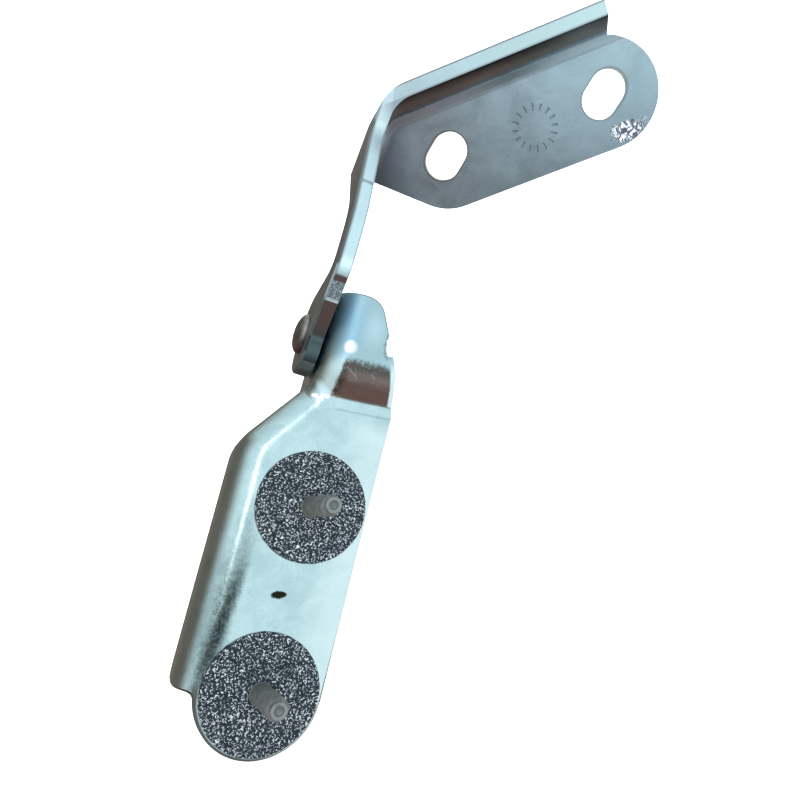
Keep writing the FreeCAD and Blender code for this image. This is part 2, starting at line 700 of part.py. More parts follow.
pieces = [
    body_leaf,
    bonnet_leaf,
    pivot_rivet,
    pivot_bush,
    friction_washer,
    backing_washer,
    stud("upper_stud", zero),
    stud("lower_stud", zero - s["stud_pitch"]),
    seal("upper_seal", zero),
    seal("lower_seal", zero - s["stud_pitch"]),
]
doc.recompute()

for item in doc.Objects:
    if "Invalid" in item.State or "Error" in item.State:
        raise RuntimeError("%s did not compute: %s" % (item.Label, item.State))
for piece in pieces:
    shape = piece.Shape
    if shape.isNull() or not shape.isValid() or len(shape.Solids) != 1:
        raise RuntimeError("%s is not one valid solid" % piece.Label)
for piece in pieces:
    piece.Shape.exportStep("parts/%s.step" % piece.Label)
    box = piece.Shape.BoundBox
    print("%-18s %9.1f mm3  x %6.1f %6.1f  y %6.1f %6.1f  z %6.1f %6.1f" % (
        piece.Label, piece.Shape.Volume, box.XMin, box.XMax, box.YMin, box.YMax, box.ZMin, box.ZMax))
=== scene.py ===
# %% [markdown]
# A bonnet hinge in bright zinc plate. The exact pressed leaves come from the CAD frame, and this
# lesson dresses them: a camera where the photograph was taken, a bright window side for the plate
# to mirror, finer models of the small turned parts, and a worn finish for every surface.

# %% Load the frame
import bpy
import bmesh
import math
from mathutils import Matrix, Vector, noise


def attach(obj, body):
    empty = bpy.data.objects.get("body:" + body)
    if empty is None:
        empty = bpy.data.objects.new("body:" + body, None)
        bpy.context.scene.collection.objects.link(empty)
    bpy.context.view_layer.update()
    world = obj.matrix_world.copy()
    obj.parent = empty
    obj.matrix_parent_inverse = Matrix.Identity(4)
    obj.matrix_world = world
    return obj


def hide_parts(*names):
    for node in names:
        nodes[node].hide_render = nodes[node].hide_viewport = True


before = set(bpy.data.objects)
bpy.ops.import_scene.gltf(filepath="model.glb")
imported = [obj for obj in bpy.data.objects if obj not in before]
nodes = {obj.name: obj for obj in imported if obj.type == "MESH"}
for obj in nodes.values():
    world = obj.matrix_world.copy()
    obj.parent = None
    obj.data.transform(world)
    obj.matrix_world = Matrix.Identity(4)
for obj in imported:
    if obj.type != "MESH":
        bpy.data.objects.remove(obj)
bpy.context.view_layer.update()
MM = 0.001
print("nodes:", sorted(nodes))

# %% [markdown]
# The camera stands where the photograph was taken: below and to the left of the hinge's middle,
# looking up at it and rolled about thirteen degrees. Its axes could be three turning angles in the
# right order, but three unit vectors leave no order to get wrong. A small sideways shift puts the
# vanishing point where it belongs.

# %% Camera
EYE = Vector((-55.39, -205.73, -18.10)) * MM
PICTURE_RIGHT = Vector((0.86145, -0.46216, 0.21048))
PICTURE_UP = Vector((-0.30894, -0.14798, 0.93950))
BACKWARD = Vector((-0.40305, -0.87436, -0.27026))
camera_data = bpy.data.cameras.new("camera")
camera_data.sensor_width = 36.0
camera_data.lens = 32.85
camera_data.shift_x = -0.0825
camera_data.shift_y = -0.0012
camera_data.clip_start = 0.005
camera_data.clip_end = 20.0
camera = bpy.data.objects.new("camera", camera_data)
bpy.context.scene.collection.objects.link(camera)
axes = Matrix((PICTURE_RIGHT, PICTURE_UP, BACKWARD)).transposed()
camera.rotation_mode = "QUATERNION"
camera.rotation_quaternion = axes.to_quaternion()
camera.location = EYE
bpy.context.scene.camera = camera
bpy.context.scene.view_settings.view_transform = "Standard"
print("camera looks along", (-BACKWARD).to_tuple(3))

# %% [markdown]
# Shader sums read best as plain arithmetic. A Wire holds one socket of a shader node, and adding or
# multiplying wires adds the Math nodes. Its ramp turns a distance into a mask from 0 to 1 with a
# soft edge, which is how every mark on this hinge is drawn.

# %% Shader arithmetic
class Wire:
    """One output of a shader node, ready for sums."""

    def __init__(self, finish, socket):
        self.finish = finish
        self.socket = socket

    def _sum(self, operation, first, second):
        return self.finish.node("Math", {"operation": operation}, {0: first, 1: second})

    def __add__(self, other):
        return self._sum("ADD", self, other)

    def __radd__(self, other):
        return self._sum("ADD", other, self)

    def __sub__(self, other):
        return self._sum("SUBTRACT", self, other)

    def __rsub__(self, other):
        return self._sum("SUBTRACT", other, self)

    def __mul__(self, other):
        return self._sum("MULTIPLY", self, other)

    def __rmul__(self, other):
        return self._sum("MULTIPLY", other, self)

    def size(self):
        """The value without its sign."""
        return self._sum("ABSOLUTE", self, 0.0)

    def larger(self, other):
        """The larger of two values; of two masks, the places that are in either one."""
        return self._sum("MAXIMUM", self, other)

    def ramp(self, low, high):
        """0 below low, 1 above high, smooth between; falls where low is above high."""
        start, end = min(low, high), max(low, high)
        flip = low > high
        return self.finish.node("MapRange", {"interpolation_type": "SMOOTHSTEP"}, {
            0: self, 1: start, 2: end, 3: 1.0 if flip else 0.0, 4: 0.0 if flip else 1.0})


print("wires can be added, multiplied and ramped")

# %% [markdown]
# A Finish holds one material. Its node() method makes any other node from a type, its settings and
# the values or wires of its inputs, so that a finish stays a page of readable lines. Patterns could
# follow an unfolded surface, but bent sheet and turned steel look the same in plain Object
# coordinates, which need no unfolding.

# %% One material
class Finish:
    """A material with a Principled shader; node() adds one node to it."""

    def __init__(self, name, **constants):
        self.material = bpy.data.materials.new(name)
        self.material.use_nodes = True
        self.tree = self.material.node_tree
        self.shader = self.tree.nodes["Principled BSDF"]
        for socket, value in constants.items():
            self.shader.inputs[socket.replace("_", " ")].default_value = value
        self.place = self.node("TexCoord", output="Object")

    def feed(self, socket, value):
        if isinstance(value, Wire):
            self.tree.links.new(value.socket, socket)
        else:
            socket.default_value = value

    def node(self, kind, settings=None, inputs=None, output=0):
        made = self.tree.nodes.new("ShaderNode" + kind)
        for name, value in (settings or {}).items():
            setattr(made, name, value)
        for name, value in (inputs or {}).items():
            self.feed(made.inputs[name], value)
        return Wire(self, made.outputs[output])

    def noise(self, size_mm, detail=3.0, rough=0.55, where=None, twist=0.0):
        """Soft noise from 0 to 1 whose blotches are about size_mm across."""
        return self.node("TexNoise", None, {
            "Vector": where or self.place, "Scale": 1.0 / (size_mm * MM), "Detail": detail,
            "Roughness": rough, "Distortion": twist})

    def dots(self, size_mm):
        """The distance to the nearest of many scattered points, about size_mm apart."""
        return self.node("TexVoronoi", {"feature": "F1"}, {
            "Vector": self.place, "Scale": 1.0 / (size_mm * MM)}, "Distance")

    def mix(self, mask, low, high):
        """Colour low where the mask is 0, high where it is 1."""
        return self.node("Mix", {"data_type": "RGBA"}, {0: mask, 6: low, 7: high}, 2)

    def along(self, vector, axis):
        """How far a vector reaches along an axis."""
        return self.node("VectorMath", {"operation": "DOT_PRODUCT"}, {0: vector, 1: axis}, "Value")

    def wear(self, colour=None, roughness=None, metallic=None, height=None, depth_mm=0.05, normal=None):
        """Feeds the shader; height from 0 to 1 becomes a bump of depth_mm."""
        for socket, value in (("Base Color", colour), ("Roughness", roughness), ("Metallic", metallic)):
            if value is not None:
                self.feed(self.shader.inputs[socket], value)
        if height is not None:
            inputs = {"Strength": 1.0, "Distance": depth_mm * MM, "Height": height}
            if normal is not None:
                inputs["Normal"] = normal
            self.feed(self.shader.inputs["Normal"], self.node("Bump", None, inputs))


def dress(piece, finish):
    """Gives a piece or a CAD node one material."""
    piece.data.materials.clear()
    piece.data.materials.append(finish.material)


print("finishes ready")

# %% [markdown]
# The hinge was photographed on white. A floor alone would show a horizon, and a white world would
# whiten the plate's reflections too. So a pale floor lies under the hinge and a white ball stands
# round it. Both glow white, and reflections leave them out.

# %% Floor and backdrop
FLOOR_LEVEL = -67.8
FLOOR_RADIUS = 6.0
BACKDROP_RADIUS = 5.5
WHITE = (1.0, 1.0, 1.0, 1.0)


def studio_piece(name, shape, finish):
    """Makes an object of a bmesh as it is and gives it one material."""
    mesh = bpy.data.meshes.new(name)
    shape.to_mesh(mesh)
    shape.free()
    piece = bpy.data.objects.new(name, mesh)
    dress(piece, finish)
    return piece


white_floor = Finish("pale_floor", Emission_Color=WHITE, Emission_Strength=1.0)
grain = white_floor.noise(40.0)
white_floor.wear(colour=white_floor.mix(grain, (0.90, 0.90, 0.89, 1), (0.95, 0.95, 0.94, 1)),
                 roughness=grain * 0.1 + 0.85)
disc = bmesh.new()
bmesh.ops.create_circle(disc, cap_ends=True, segments=96, radius=FLOOR_RADIUS)
bmesh.ops.translate(disc, verts=disc.verts, vec=(0, 0, FLOOR_LEVEL * MM))
floor = studio_piece("floor", disc, white_floor)
floor.visible_glossy = False

backdrop_finish = Finish("backdrop_white", Roughness=1.0, Base_Color=WHITE, Emission_Color=WHITE,
                         Emission_Strength=1.0)
ball = bmesh.new()
bmesh.ops.create_uvsphere(ball, u_segments=48, v_segments=24, radius=BACKDROP_RADIUS)
bmesh.ops.reverse_faces(ball, faces=ball.faces)
backdrop = studio_piece("backdrop", ball, backdrop_finish)
for ray in ("visible_diffuse", "visible_glossy", "visible_transmission", "visible_shadow"):
    setattr(backdrop, ray, False)
for item in (floor, backdrop):
    bpy.context.scene.collection.objects.link(item)
print("floor at", FLOOR_LEVEL, "mm")

# %% [markdown]
# Three soft lamps light the hinge. A narrow upright strip in front draws the bright line down the
# bend, and two broad cards from the right and the rear keep the edges from going black. Lamps could
# be given in watts, but for plate that mirrors them their brightness is what counts, so the watts
# are worked out from it.

# %% Lamps
HINGE_MIDDLE = Vector((15.0, -10.0, 45.0)) * MM
LAMP_DISTANCE = 0.9
DAYLIGHT = (0.95, 0.98, 1.0)


def soft_lamp(name, direction, width, height, brightness, colour=DAYLIGHT):
    """A soft rectangular lamp that faces the hinge; brightness is what a mirror would show."""
    lamp = bpy.data.lights.new(name, "AREA")
    lamp.shape = "RECTANGLE"
    lamp.size = width
    lamp.size_y = height
    lamp.energy = brightness * math.pi * width * height
    lamp.color = colour
    holder = bpy.data.objects.new(name, lamp)
    away = Vector(direction).normalized()
    holder.location = HINGE_MIDDLE + away * LAMP_DISTANCE
    holder.rotation_mode = "QUATERNION"
    holder.rotation_quaternion = away.to_track_quat("Z", "Y")
    holder.visible_camera = False
    bpy.context.scene.collection.objects.link(holder)


soft_lamp("strip_lamp", (-0.42, -0.86, 0.12), 0.06, 0.80, 5.0, (1.0, 1.0, 0.97))
soft_lamp("right_card", (1.0, 0.30, 0.25), 0.5, 0.8, 0.8)
soft_lamp("rear_card", (0.60, 1.0, 0.75), 0.6, 0.5, 0.7)
print("three lamps", LAMP_DISTANCE, "m away")

# %% [markdown]
# What polished plate mirrors is most of its look. The world is painted by direction: a pale cyan
# window side in front and overhead, a dim brown-grey horizon, and a dark brown ground. A picture of
# a real room would do the same, but three tones and a few soft borders are easier to steer.

# %% Room to mirror
WINDOW_TONE = (0.84, 0.97, 1.0, 1.0)
HORIZON_TONE = (0.190, 0.168, 0.143, 1.0)
GROUND_TONE = (0.135, 0.078, 0.060, 1.0)
WINDOW_SIDE = Vector((-0.10, -1.0, 0.10)).normalized()


class Room(Finish):
    """The world around the hinge, made with the same node() method as a finish."""

    def __init__(self):
        self.world = bpy.data.worlds.new("studio")
        self.world.use_nodes = True
        self.tree = self.world.node_tree
        self.place = self.node("TexCoord", output="Generated")


room = Room()
rise = room.node("SeparateXYZ", None, {0: room.place}, "Z")
front = room.along(room.place, WINDOW_SIDE)
dim = room.mix(rise.ramp(-0.70, -0.20), GROUND_TONE, HORIZON_TONE)
window = front.ramp(-0.20, 0.75) * rise.ramp(-0.75, -0.30)
overhead = rise.ramp(0.45, 0.85) * 0.9
tone = room.mix(window, dim, WINDOW_TONE)
tone = room.mix(overhead, tone, WINDOW_TONE)
room.feed(room.tree.nodes["Background"].inputs["Color"], tone)
bpy.context.scene.world = room.world
print("window side", WINDOW_SIDE.to_tuple(2))

# %% [markdown]
# Marks on the bonnet leaf are easiest to place in the leaf's own directions: along the flange,
# towards the flange, and out of the tray floor. The arm has its own three, from the pivot. World
# axes would do too, but every mark would then need three slanting numbers.

# %% Directions and places
TRAY_CORNER = (-9.388, 8.243, 127.8)
ALONG = Vector((0.64536, -0.61888, 0.44776))
ACROSS = Vector((-0.69190, -0.22522, 0.68596))
OUTWARD = Vector((-0.32369, -0.75250, -0.57355))
TRAY_AXES = (ALONG, ACROSS, OUTWARD)
PIVOT = (-8.4, 12.9, 51.6)
PIVOT_AXIS = Vector((0.996917, -0.078459, 0.0))
BEHIND = Vector((0.078459, 0.996917, 0.0))
UP = Vector((0.0, 0.0, 1.0))
HINGE_AXES = (PIVOT_AXIS, BEHIND, UP)
FRONT = Vector((0.0, -1.0, 0.0))
print("tray faces", OUTWARD.to_tuple(2))

# %% [markdown]
# A mark on a pressing has a place, a size and a side of the sheet. Painting it by hand needs an
# image, so here each mark is a formula: a spot about a point, a scratch between two points, and a
# mask of the surfaces that face one way, which keeps a stain from showing through the sheet.

# %% Places and sides
class Marked(Finish):
    """A finish that can mark points, lines and sides of its piece."""

    def moved(self, centre_mm, axes=None, stretch=(1.0, 1.0, 1.0)):
        """Coordinates about a point, in millimetres, along the given axes."""
        shifted = self.node("VectorMath", {"operation": "SUBTRACT"}, {
            0: self.place, 1: Vector(centre_mm) * MM})
        if axes is None:
            parts = [self.node("SeparateXYZ", None, {0: shifted}, side) for side in range(3)]
        else:
            parts = [self.along(shifted, axis) for axis in axes]
        return [part * (factor / MM) for part, factor in zip(parts, stretch)]

    def distance(self, x, y, z):
        """How long the vector with these three parts is."""
        joined = self.node("CombineXYZ", None, {0: x, 1: y, 2: z})
        return self.node("VectorMath", {"operation": "LENGTH"}, {0: joined}, "Value")

    def spot(self, centre_mm, size_mm, soft=0.35, axes=None, stretch=(1.0, 1.0, 1.0), ragged=None):
        """A mask that fades from 1 to 0 about size_mm from a point, by the soft share either way."""
        away = self.distance(*self.moved(centre_mm, axes, stretch))
        if ragged is not None:
            away = away + ragged * size_mm
        return away.ramp(size_mm * (1 + soft), size_mm * (1 - soft))

    def scratch(self, start_mm, end_mm, width_mm=0.18):
        """A thin straight mark between two points (x, z), right through the sheet."""
        start = Vector((start_mm[0], 0.0, start_mm[1]))
        run = Vector((end_mm[0], 0.0, end_mm[1])) - start
        length = run.length
        run.normalize()
        along, aside = self.moved(start, (run, Vector((run.z, 0.0, -run.x))))
        line = aside.size().ramp(width_mm, width_mm * 0.3)
        return line * along.ramp(-0.2, 0.4) * along.ramp(length, length * 0.6)

    def facing(self, direction, low, high):
        """A mask that is 1 where the surface faces the given direction."""
        return self.along(self.node("NewGeometry", output="Normal"), direction).ramp(low, high)


print("spots, scratches and sides ready")

# %% [markdown]
# Zinc plate is never one grey. It has a cloudy passivation tint, fine grain from the sheet, dull
# freckles, and lines along the way the sheet was rolled, from noise that is stretched that way.
# An image of worn metal would be quicker but would repeat, so one recipe makes these layers, and
# each leaf lays its own stains over them: a colour, a roughness and a share of metal.

# %% Zinc plate recipe
ROLLING_SQUEEZE = 0.93
FRECKLE_TONE = (0.20, 0.22, 0.22, 1.0)


class Zinc(Marked):
    """Bright zinc plate on pressed steel, with the clouds, grain and freckles of the real one."""

    def __init__(self, name, pale, deep, rolled, gloss, lines=0.30):
        super().__init__(name, Metallic=1.0)
        clouds = self.noise(9.0, 4.0, 0.6, twist=0.6)
        grain = self.noise(0.45, 2.0, 0.6)
        squeezed = self.node("VectorMath", {"operation": "SCALE"}, {
            0: rolled, "Scale": self.along(self.place, rolled) * -ROLLING_SQUEEZE})
        streak_place = self.node("VectorMath", {"operation": "ADD"}, {0: self.place, 1: squeezed})
        streaks = self.noise(1.1, 3.0, 0.65, where=streak_place)
        freckles = self.noise(1.5, 3.0, 0.7, twist=0.8).ramp(0.66, 0.74)
        freckles = freckles * self.noise(14.0, 2.0).ramp(0.46, 0.60)
        tone = clouds * (0.75 - lines) + grain * 0.25 + streaks * lines
        self.colour = self.mix(tone.ramp(0.32, 0.68), deep, pale)
        self.colour = self.mix(freckles * 0.45, self.colour, FRECKLE_TONE)
        self.rough = (clouds - 0.5) * 0.12 + (grain - 0.5) * 0.12 + gloss + freckles * 0.20
        self.relief = clouds * 0.35 + grain * 0.10 + streaks * 0.12
        self.metal = 1.0

    def stain(self, mask, colour, roughness=None, metal=None):
        """Lays a colour, and where given a roughness or a share of metal, over what is there."""
        self.colour = self.mix(mask, self.colour, colour)
        if roughness is not None:
            self.rough = self.rough + (roughness - self.rough) * mask
        if metal is not None:
            self.metal = self.metal + (metal - self.metal) * mask

    def done(self, depth_mm=0.10, normal=None):
        """Feeds the shader with all the stains laid so far."""
        metal = self.metal if isinstance(self.metal, Wire) else None
        self.wear(self.colour, self.rough, metal, self.relief, depth_mm, normal)


print("zinc recipe ready")

# %% [markdown]
# The body leaf is the brighter of the two, with a pale cyan cast. Its marks are placed by x, y and
# z from the upper stud. The crease under the tab slants, so some heights are measured along that
# slant, and most marks are kept to the front of the sheet.

# %% Body leaf base
CREASE_SLOPE = 0.117
body_zinc = Zinc("body_leaf_zinc", (0.70, 0.87, 0.90, 1), (0.52, 0.68, 0.72, 1), UP, 0.23, lines=0.08)
fine = body_zinc.noise(0.7, 3.0, 0.7)
pad_x, pad_y, pad_z = body_zinc.moved((0.0, 0.0, 0.0))
slant_z = pad_z - pad_x * CREASE_SLOPE
ragged = (body_zinc.noise(1.6, 5.0, 0.8) - 0.5) * 5.0
to_front = body_zinc.facing(FRONT, 0.10, 0.30)
print("base of", body_zinc.material.name)

# %% [markdown]
# The tab above the crease bulges forward. It mirrors the sky as a blue patch with one bright point,
# and its blanked edge is dark. A lamp could make the point, but it would slide as the view turns and
# light other places too, so the tones are soft spots where they belong: the tab's bluish tone, the
# blue patch and a pale patch are painted reflection, the point is a painted highlight, and the dark
# beside the arm is painted shade.

# %% Tab tones: painted reflection, highlight and shade
TAB_EDGE_SIDE = Vector((0.55, 0.0, 0.835))
TAB_MIDDLE = (1.0, -5.0, 57.0)
TAB_HIGHLIGHT_PLACE = (-2.7, -4.6, 47.2)
# Painted reflection: the tab's bluish tone mirrors the sky; the tab is also made rougher.
tab = body_zinc.spot(TAB_MIDDLE, 15.5, 0.30)
body_zinc.stain(tab * to_front * 0.9, (0.46, 0.64, 0.71, 1.0), 0.50)
# Painted reflection: the blue patch of sky.
tab_sky_reflection = body_zinc.spot((-5.5, -5.0, 53.5), 4.2, 0.9, stretch=(1.0, 0.4, 0.45))
body_zinc.stain(tab_sky_reflection * 0.5, (0.25, 0.52, 0.76, 1.0))
# Painted shade beside the arm.
tab_shade = body_zinc.spot((-9.0, -4.0, 54.0), 3.2, 0.9, stretch=(1.0, 0.3, 0.3))
body_zinc.stain(tab_shade * to_front * 0.7, (0.12, 0.17, 0.20, 1.0))
# Painted reflection: a pale patch.
tab_pale_reflection = body_zinc.spot((3.0, -5.0, 55.0), 3.0, 1.0, stretch=(1.0, 0.4, 0.7))
body_zinc.stain(tab_pale_reflection * 0.5, (0.72, 0.92, 1.0, 1.0))
# Painted highlight: the tab's one bright point.
tab_highlight = body_zinc.spot(TAB_HIGHLIGHT_PLACE, 1.8, 0.45, ragged=fine * 0.3 - 0.15)
body_zinc.stain(tab_highlight, WHITE, 0.35)
tab_edge = body_zinc.facing(TAB_EDGE_SIDE, 0.40, 0.60) * pad_z.ramp(50.0, 53.0)
body_zinc.stain(tab_edge * 0.85, (0.17, 0.155, 0.145, 1.0), 0.5, 0.5)
print("tab stained about", TAB_MIDDLE)

# %% [markdown]
# At the tab's right edge the zinc is knocked off in a small nick with a dark border; its near-white
# is painted highlight. Cutting it would change the exact outline that the CAD frame gives, so it is
# two ragged spots, one in the other, and what lies between them is the border.

# %% Nick in the tab's edge
NICK_PLACE = (9.2, -5.0, 52.8)
NICK_RIM_PLACE = (8.9, -5.0, 52.9)
NICK_STRETCH = (1.7, 0.5, 0.62)
nick_and_highlight = body_zinc.spot(NICK_PLACE, 2.9, 0.10, stretch=NICK_STRETCH, ragged=fine - 0.5)
# The nick is real; its near-white colour is painted highlight.
body_zinc.stain(nick_and_highlight, (0.95, 0.97, 1.0, 1.0), 0.5, 0.3)
nick_rim = body_zinc.spot(NICK_RIM_PLACE, 3.6, 0.10, stretch=NICK_STRETCH, ragged=fine - 0.5)
body_zinc.stain((nick_rim - nick_and_highlight).ramp(0.3, 0.9) * 0.5, (0.20, 0.24, 0.25, 1.0))
print("nick at", NICK_PLACE)

# %% [markdown]
# Under the tab the sheet slopes back and mirrors the dark brown ground. That reflection is painted:
# a brown patch with a straight foot, a ragged top and a pale strip of painted reflection on either
# side. The mirrored ground alone gives no such borders, so four ramps multiplied together bound the
# patch, and noise frays all of them but the foot.

# %% Brown patch: painted reflection of the ground
TAB_TAPER = 0.376
patch_left = pad_x + ragged * 0.4
patch_top = slant_z + ragged * 1.1
tab_side = pad_x + pad_z * TAB_TAPER
patch_sides = patch_left.ramp(-3.8, -2.8) * patch_top.ramp(44.8, 42.0) * slant_z.ramp(32.7, 33.4)
patch_reflection = to_front * (patch_sides * (tab_side + ragged * 0.3).ramp(27.9, 26.9))
patch_core = patch_left.ramp(-2.4, -0.6) * patch_top.ramp(42.2, 39.8)
# Painted reflection of the dark brown ground, lighter towards the foot.
patch_reflection_tone = body_zinc.mix(slant_z.ramp(35.5, 43.0), (0.60, 0.45, 0.42, 1.0), (0.12, 0.075, 0.065, 1.0))
body_zinc.stain(patch_reflection * 0.95, patch_reflection_tone, 0.40)
# Painted reflection, darker and frayed towards the patch's edge.
frayed = patch_reflection * (1.0 - patch_core) * fine.ramp(0.30, 0.55)
body_zinc.stain(frayed * 0.75, (0.10, 0.11, 0.10, 1.0), 0.45)
# Painted reflection: the pale strips beside the patch.
beside_left = patch_left.ramp(-2.9, -3.9) * pad_x.ramp(-8.4, -5.6) * slant_z.ramp(32.4, 34.0)
beside_left = beside_left * slant_z.ramp(45.0, 41.0)
body_zinc.stain(beside_left * to_front * 0.8, (0.55, 0.70, 0.73, 1.0), 0.5, 0.35)
beside_right = tab_side.ramp(27.2, 27.8) * slant_z.ramp(32.7, 33.4) * slant_z.ramp(46.0, 42.0)
body_zinc.stain(beside_right * to_front * 0.9, (0.62, 0.76, 0.80, 1.0), 0.5, 0.25)
freckled = body_zinc.noise(0.6, 3.0, 0.7).ramp(0.62, 0.70) * patch_reflection * (1.2 - patch_core)
body_zinc.stain(freckled * 0.6, (0.75, 0.83, 0.82, 1.0), 0.55)
print("brown patch between its four borders")

# %% [markdown]
# A few scratches cross the patch, and three painted highlights, small white spots, sit in the crease
# beside it. Cut lines would need a dense mesh, so each scratch is a line between two chosen points
# (x, z), broken up by fine noise so that it doesn't look ruled.

# %% Scratches and painted highlights
SCRATCHES = [((-2.4, 41.2), (4.3, 37.7)), ((4.0, 37.1), (4.6, 34.8)), ((0.5, 40.6), (2.2, 37.6)),
             ((5.4, 41.6), (7.6, 39.8)), ((-1.2, 37.6), (2.8, 38.6)), ((6.4, 39.4), (9.6, 38.9))]
GLINTS = [(-7.6, 31.6), (-4.5, 32.1), (-5.9, 30.9)]
GLINT_DEPTH = 1.2
for start, end in SCRATCHES:
    mark = body_zinc.scratch(start, end) * patch_top.ramp(45.0, 43.0)
    body_zinc.stain(mark * fine.ramp(0.35, 0.50) * 0.5, (0.70, 0.74, 0.72, 1.0), 0.5)
# Painted highlights: white spots in the crease.
for x, z in GLINTS:
    glint = body_zinc.spot((x, GLINT_DEPTH, z), 0.75, 0.35, stretch=(0.8, 0.2, 1.2),
                           ragged=fine * 0.5 - 0.25)
    body_zinc.stain(glint, WHITE, 0.5, 0.1)
print(len(SCRATCHES), "scratches and", len(GLINTS), "bright points")

# %% [markdown]
# Beside the lower stud the foot of the bend mirrors a dark band, and the side flange has a dull
# olive cast; the band is painted dark reflection and the cast painted shade. The band is a wide soft
# spot and a narrow dark one inside it, both stretched along the bend. One spot alone would be either
# too hard or too faint.

# %% Flange shade and dark reflection in the bend
BEND_REFLECTION_PLACE = (-16.0, 1.0, -33.5)
BEND_REFLECTION_CORE_PLACE = (-15.4, 1.0, -38.0)
BEND_REFLECTION_AXES = (Vector((0.996, 0.0, -0.086)), Vector((0.0, 1.0, 0.0)), Vector((0.086, 0.0, 0.996)))
# Painted shade: the flange side that faces left turns darker and olive.
flange_side = body_zinc.facing(Vector((-1.0, 0.0, 0.0)), 0.50, 0.90)
body_zinc.stain(flange_side * 0.40, (0.38, 0.40, 0.32, 1.0))
# Painted dark reflection: a wide soft band along the bend's foot.
bend_reflection = body_zinc.spot(BEND_REFLECTION_PLACE, 6.5, 0.8, stretch=(2.3, 0.5, 0.31),
                        ragged=body_zinc.noise(2.5, 4.0, 0.7) - 0.5)
bend_reflection = bend_reflection * to_front * (fine.ramp(0.35, 0.65) * 0.35 + 0.55)
body_zinc.stain(bend_reflection, (0.13, 0.175, 0.17, 1.0), 0.35)
# Painted dark reflection: the narrow dark core of the band.
bend_reflection_core = body_zinc.spot(BEND_REFLECTION_CORE_PLACE, 5.0, 0.75, axes=BEND_REFLECTION_AXES, stretch=(3.1, 0.4, 0.30),
                             ragged=body_zinc.noise(1.8, 4.0, 0.7) * 0.8 - 0.4)
bend_reflection_core = bend_reflection_core * to_front * (fine.ramp(0.30, 0.60) * 0.25 + 0.70)
body_zinc.stain(bend_reflection_core, (0.030, 0.040, 0.040, 1.0), 0.40)
print("smudge along the bend at x", BEND_REFLECTION_PLACE[0])

# %% [markdown]
# The pad's round lower end shows a dull blanked edge outside the seal, its right side is lighter
# with painted light, and small dark specks gather along the free edge. A painted stroke would need
# an image, so the edge is a ring worked out from the distance to the lower stud, and it follows the
# round end.

# %% Pad edge, painted light and specks
BACK = Vector((0.0, 1.0, 0.0))
STUD_PITCH = 50.8
stud_away = body_zinc.distance(pad_x, 0.0, pad_z + STUD_PITCH)
round_edge = stud_away.ramp(15.9, 16.3) * stud_away.ramp(17.6, 17.2) * pad_z.ramp(-50.0, -53.0)
round_edge = round_edge * body_zinc.facing(BACK, 0.6, 0.3)
body_zinc.stain(round_edge * 0.90, (0.115, 0.112, 0.110, 1.0), 0.55, 0.6)
# Painted light: the pad's right side is lighter.
pad_painted_light = pad_x.ramp(2.0, 14.0) * pad_z.ramp(31.0, 24.0) * to_front
body_zinc.stain(pad_painted_light * 0.55, (0.90, 1.0, 1.0, 1.0))
specks = body_zinc.noise(1.1, 3.0, 0.7, twist=1.0).ramp(0.70, 0.74)
edge_specks = specks * to_front * pad_x.ramp(6.0, 13.0)
body_zinc.stain(edge_specks * 0.7, (0.16, 0.20, 0.20, 1.0), 0.5)
print("pad edge, light side and specks stained")

# %% [markdown]
# Between the seals is one small upright punch mark, and across the pad's top runs a faint fold.
# Both are shallow, so bump is enough and nothing is cut: they are taken off the relief, soft dents
# are added to it, and then the body leaf is done.

# %% Punch mark, fold and dents
PUNCH_PLACE = (-2.3, 1.0, -25.3)
PUNCH_AXES = (Vector((0.98, 0, 0.2)), Vector((0, 1, 0)), Vector((-0.2, 0, 0.98)))
FOLD_HEIGHT = 29.6
punch = body_zinc.spot(PUNCH_PLACE, 1.0, 0.22, stretch=(0.52, 0.3, 1.15), axes=PUNCH_AXES,
                       ragged=body_zinc.noise(0.6) * 0.7 - 0.35)
punch = punch * to_front
body_zinc.stain(punch, (0.035, 0.035, 0.02, 1.0), 0.7)
fold = (slant_z - FOLD_HEIGHT + fine * 0.5).size().ramp(0.55, 0.10)
fold = fold * pad_y.ramp(1.5, 1.2) * pad_x.ramp(-3.0, 1.0)
body_zinc.stain(fold * 0.35, (0.25, 0.34, 0.35, 1.0))
dents = body_zinc.noise(3.5, 2.0, 0.5)
body_zinc.relief = body_zinc.relief + dents * 0.6 + fine * 0.12 - punch * 6.0 - fold * 0.8
body_zinc.done()
dress(nodes["body_leaf"], body_zinc)
print("body leaf dressed")

# %% [markdown]
# The bonnet leaf is thicker sheet in a blue-grey plate. Its blanked edges, the tray's rim and the
# front of the arm, turn to the viewer as one bright strip with thin dark borders. Shiny edges could
# come from the lamps alone, but then they would flicker along the bends, so the strip gets its own
# paler and duller tone: partly the cut edge's own finish, partly painted reflection of the bright
# side, with a painted highlight on the upper cut of the arm.

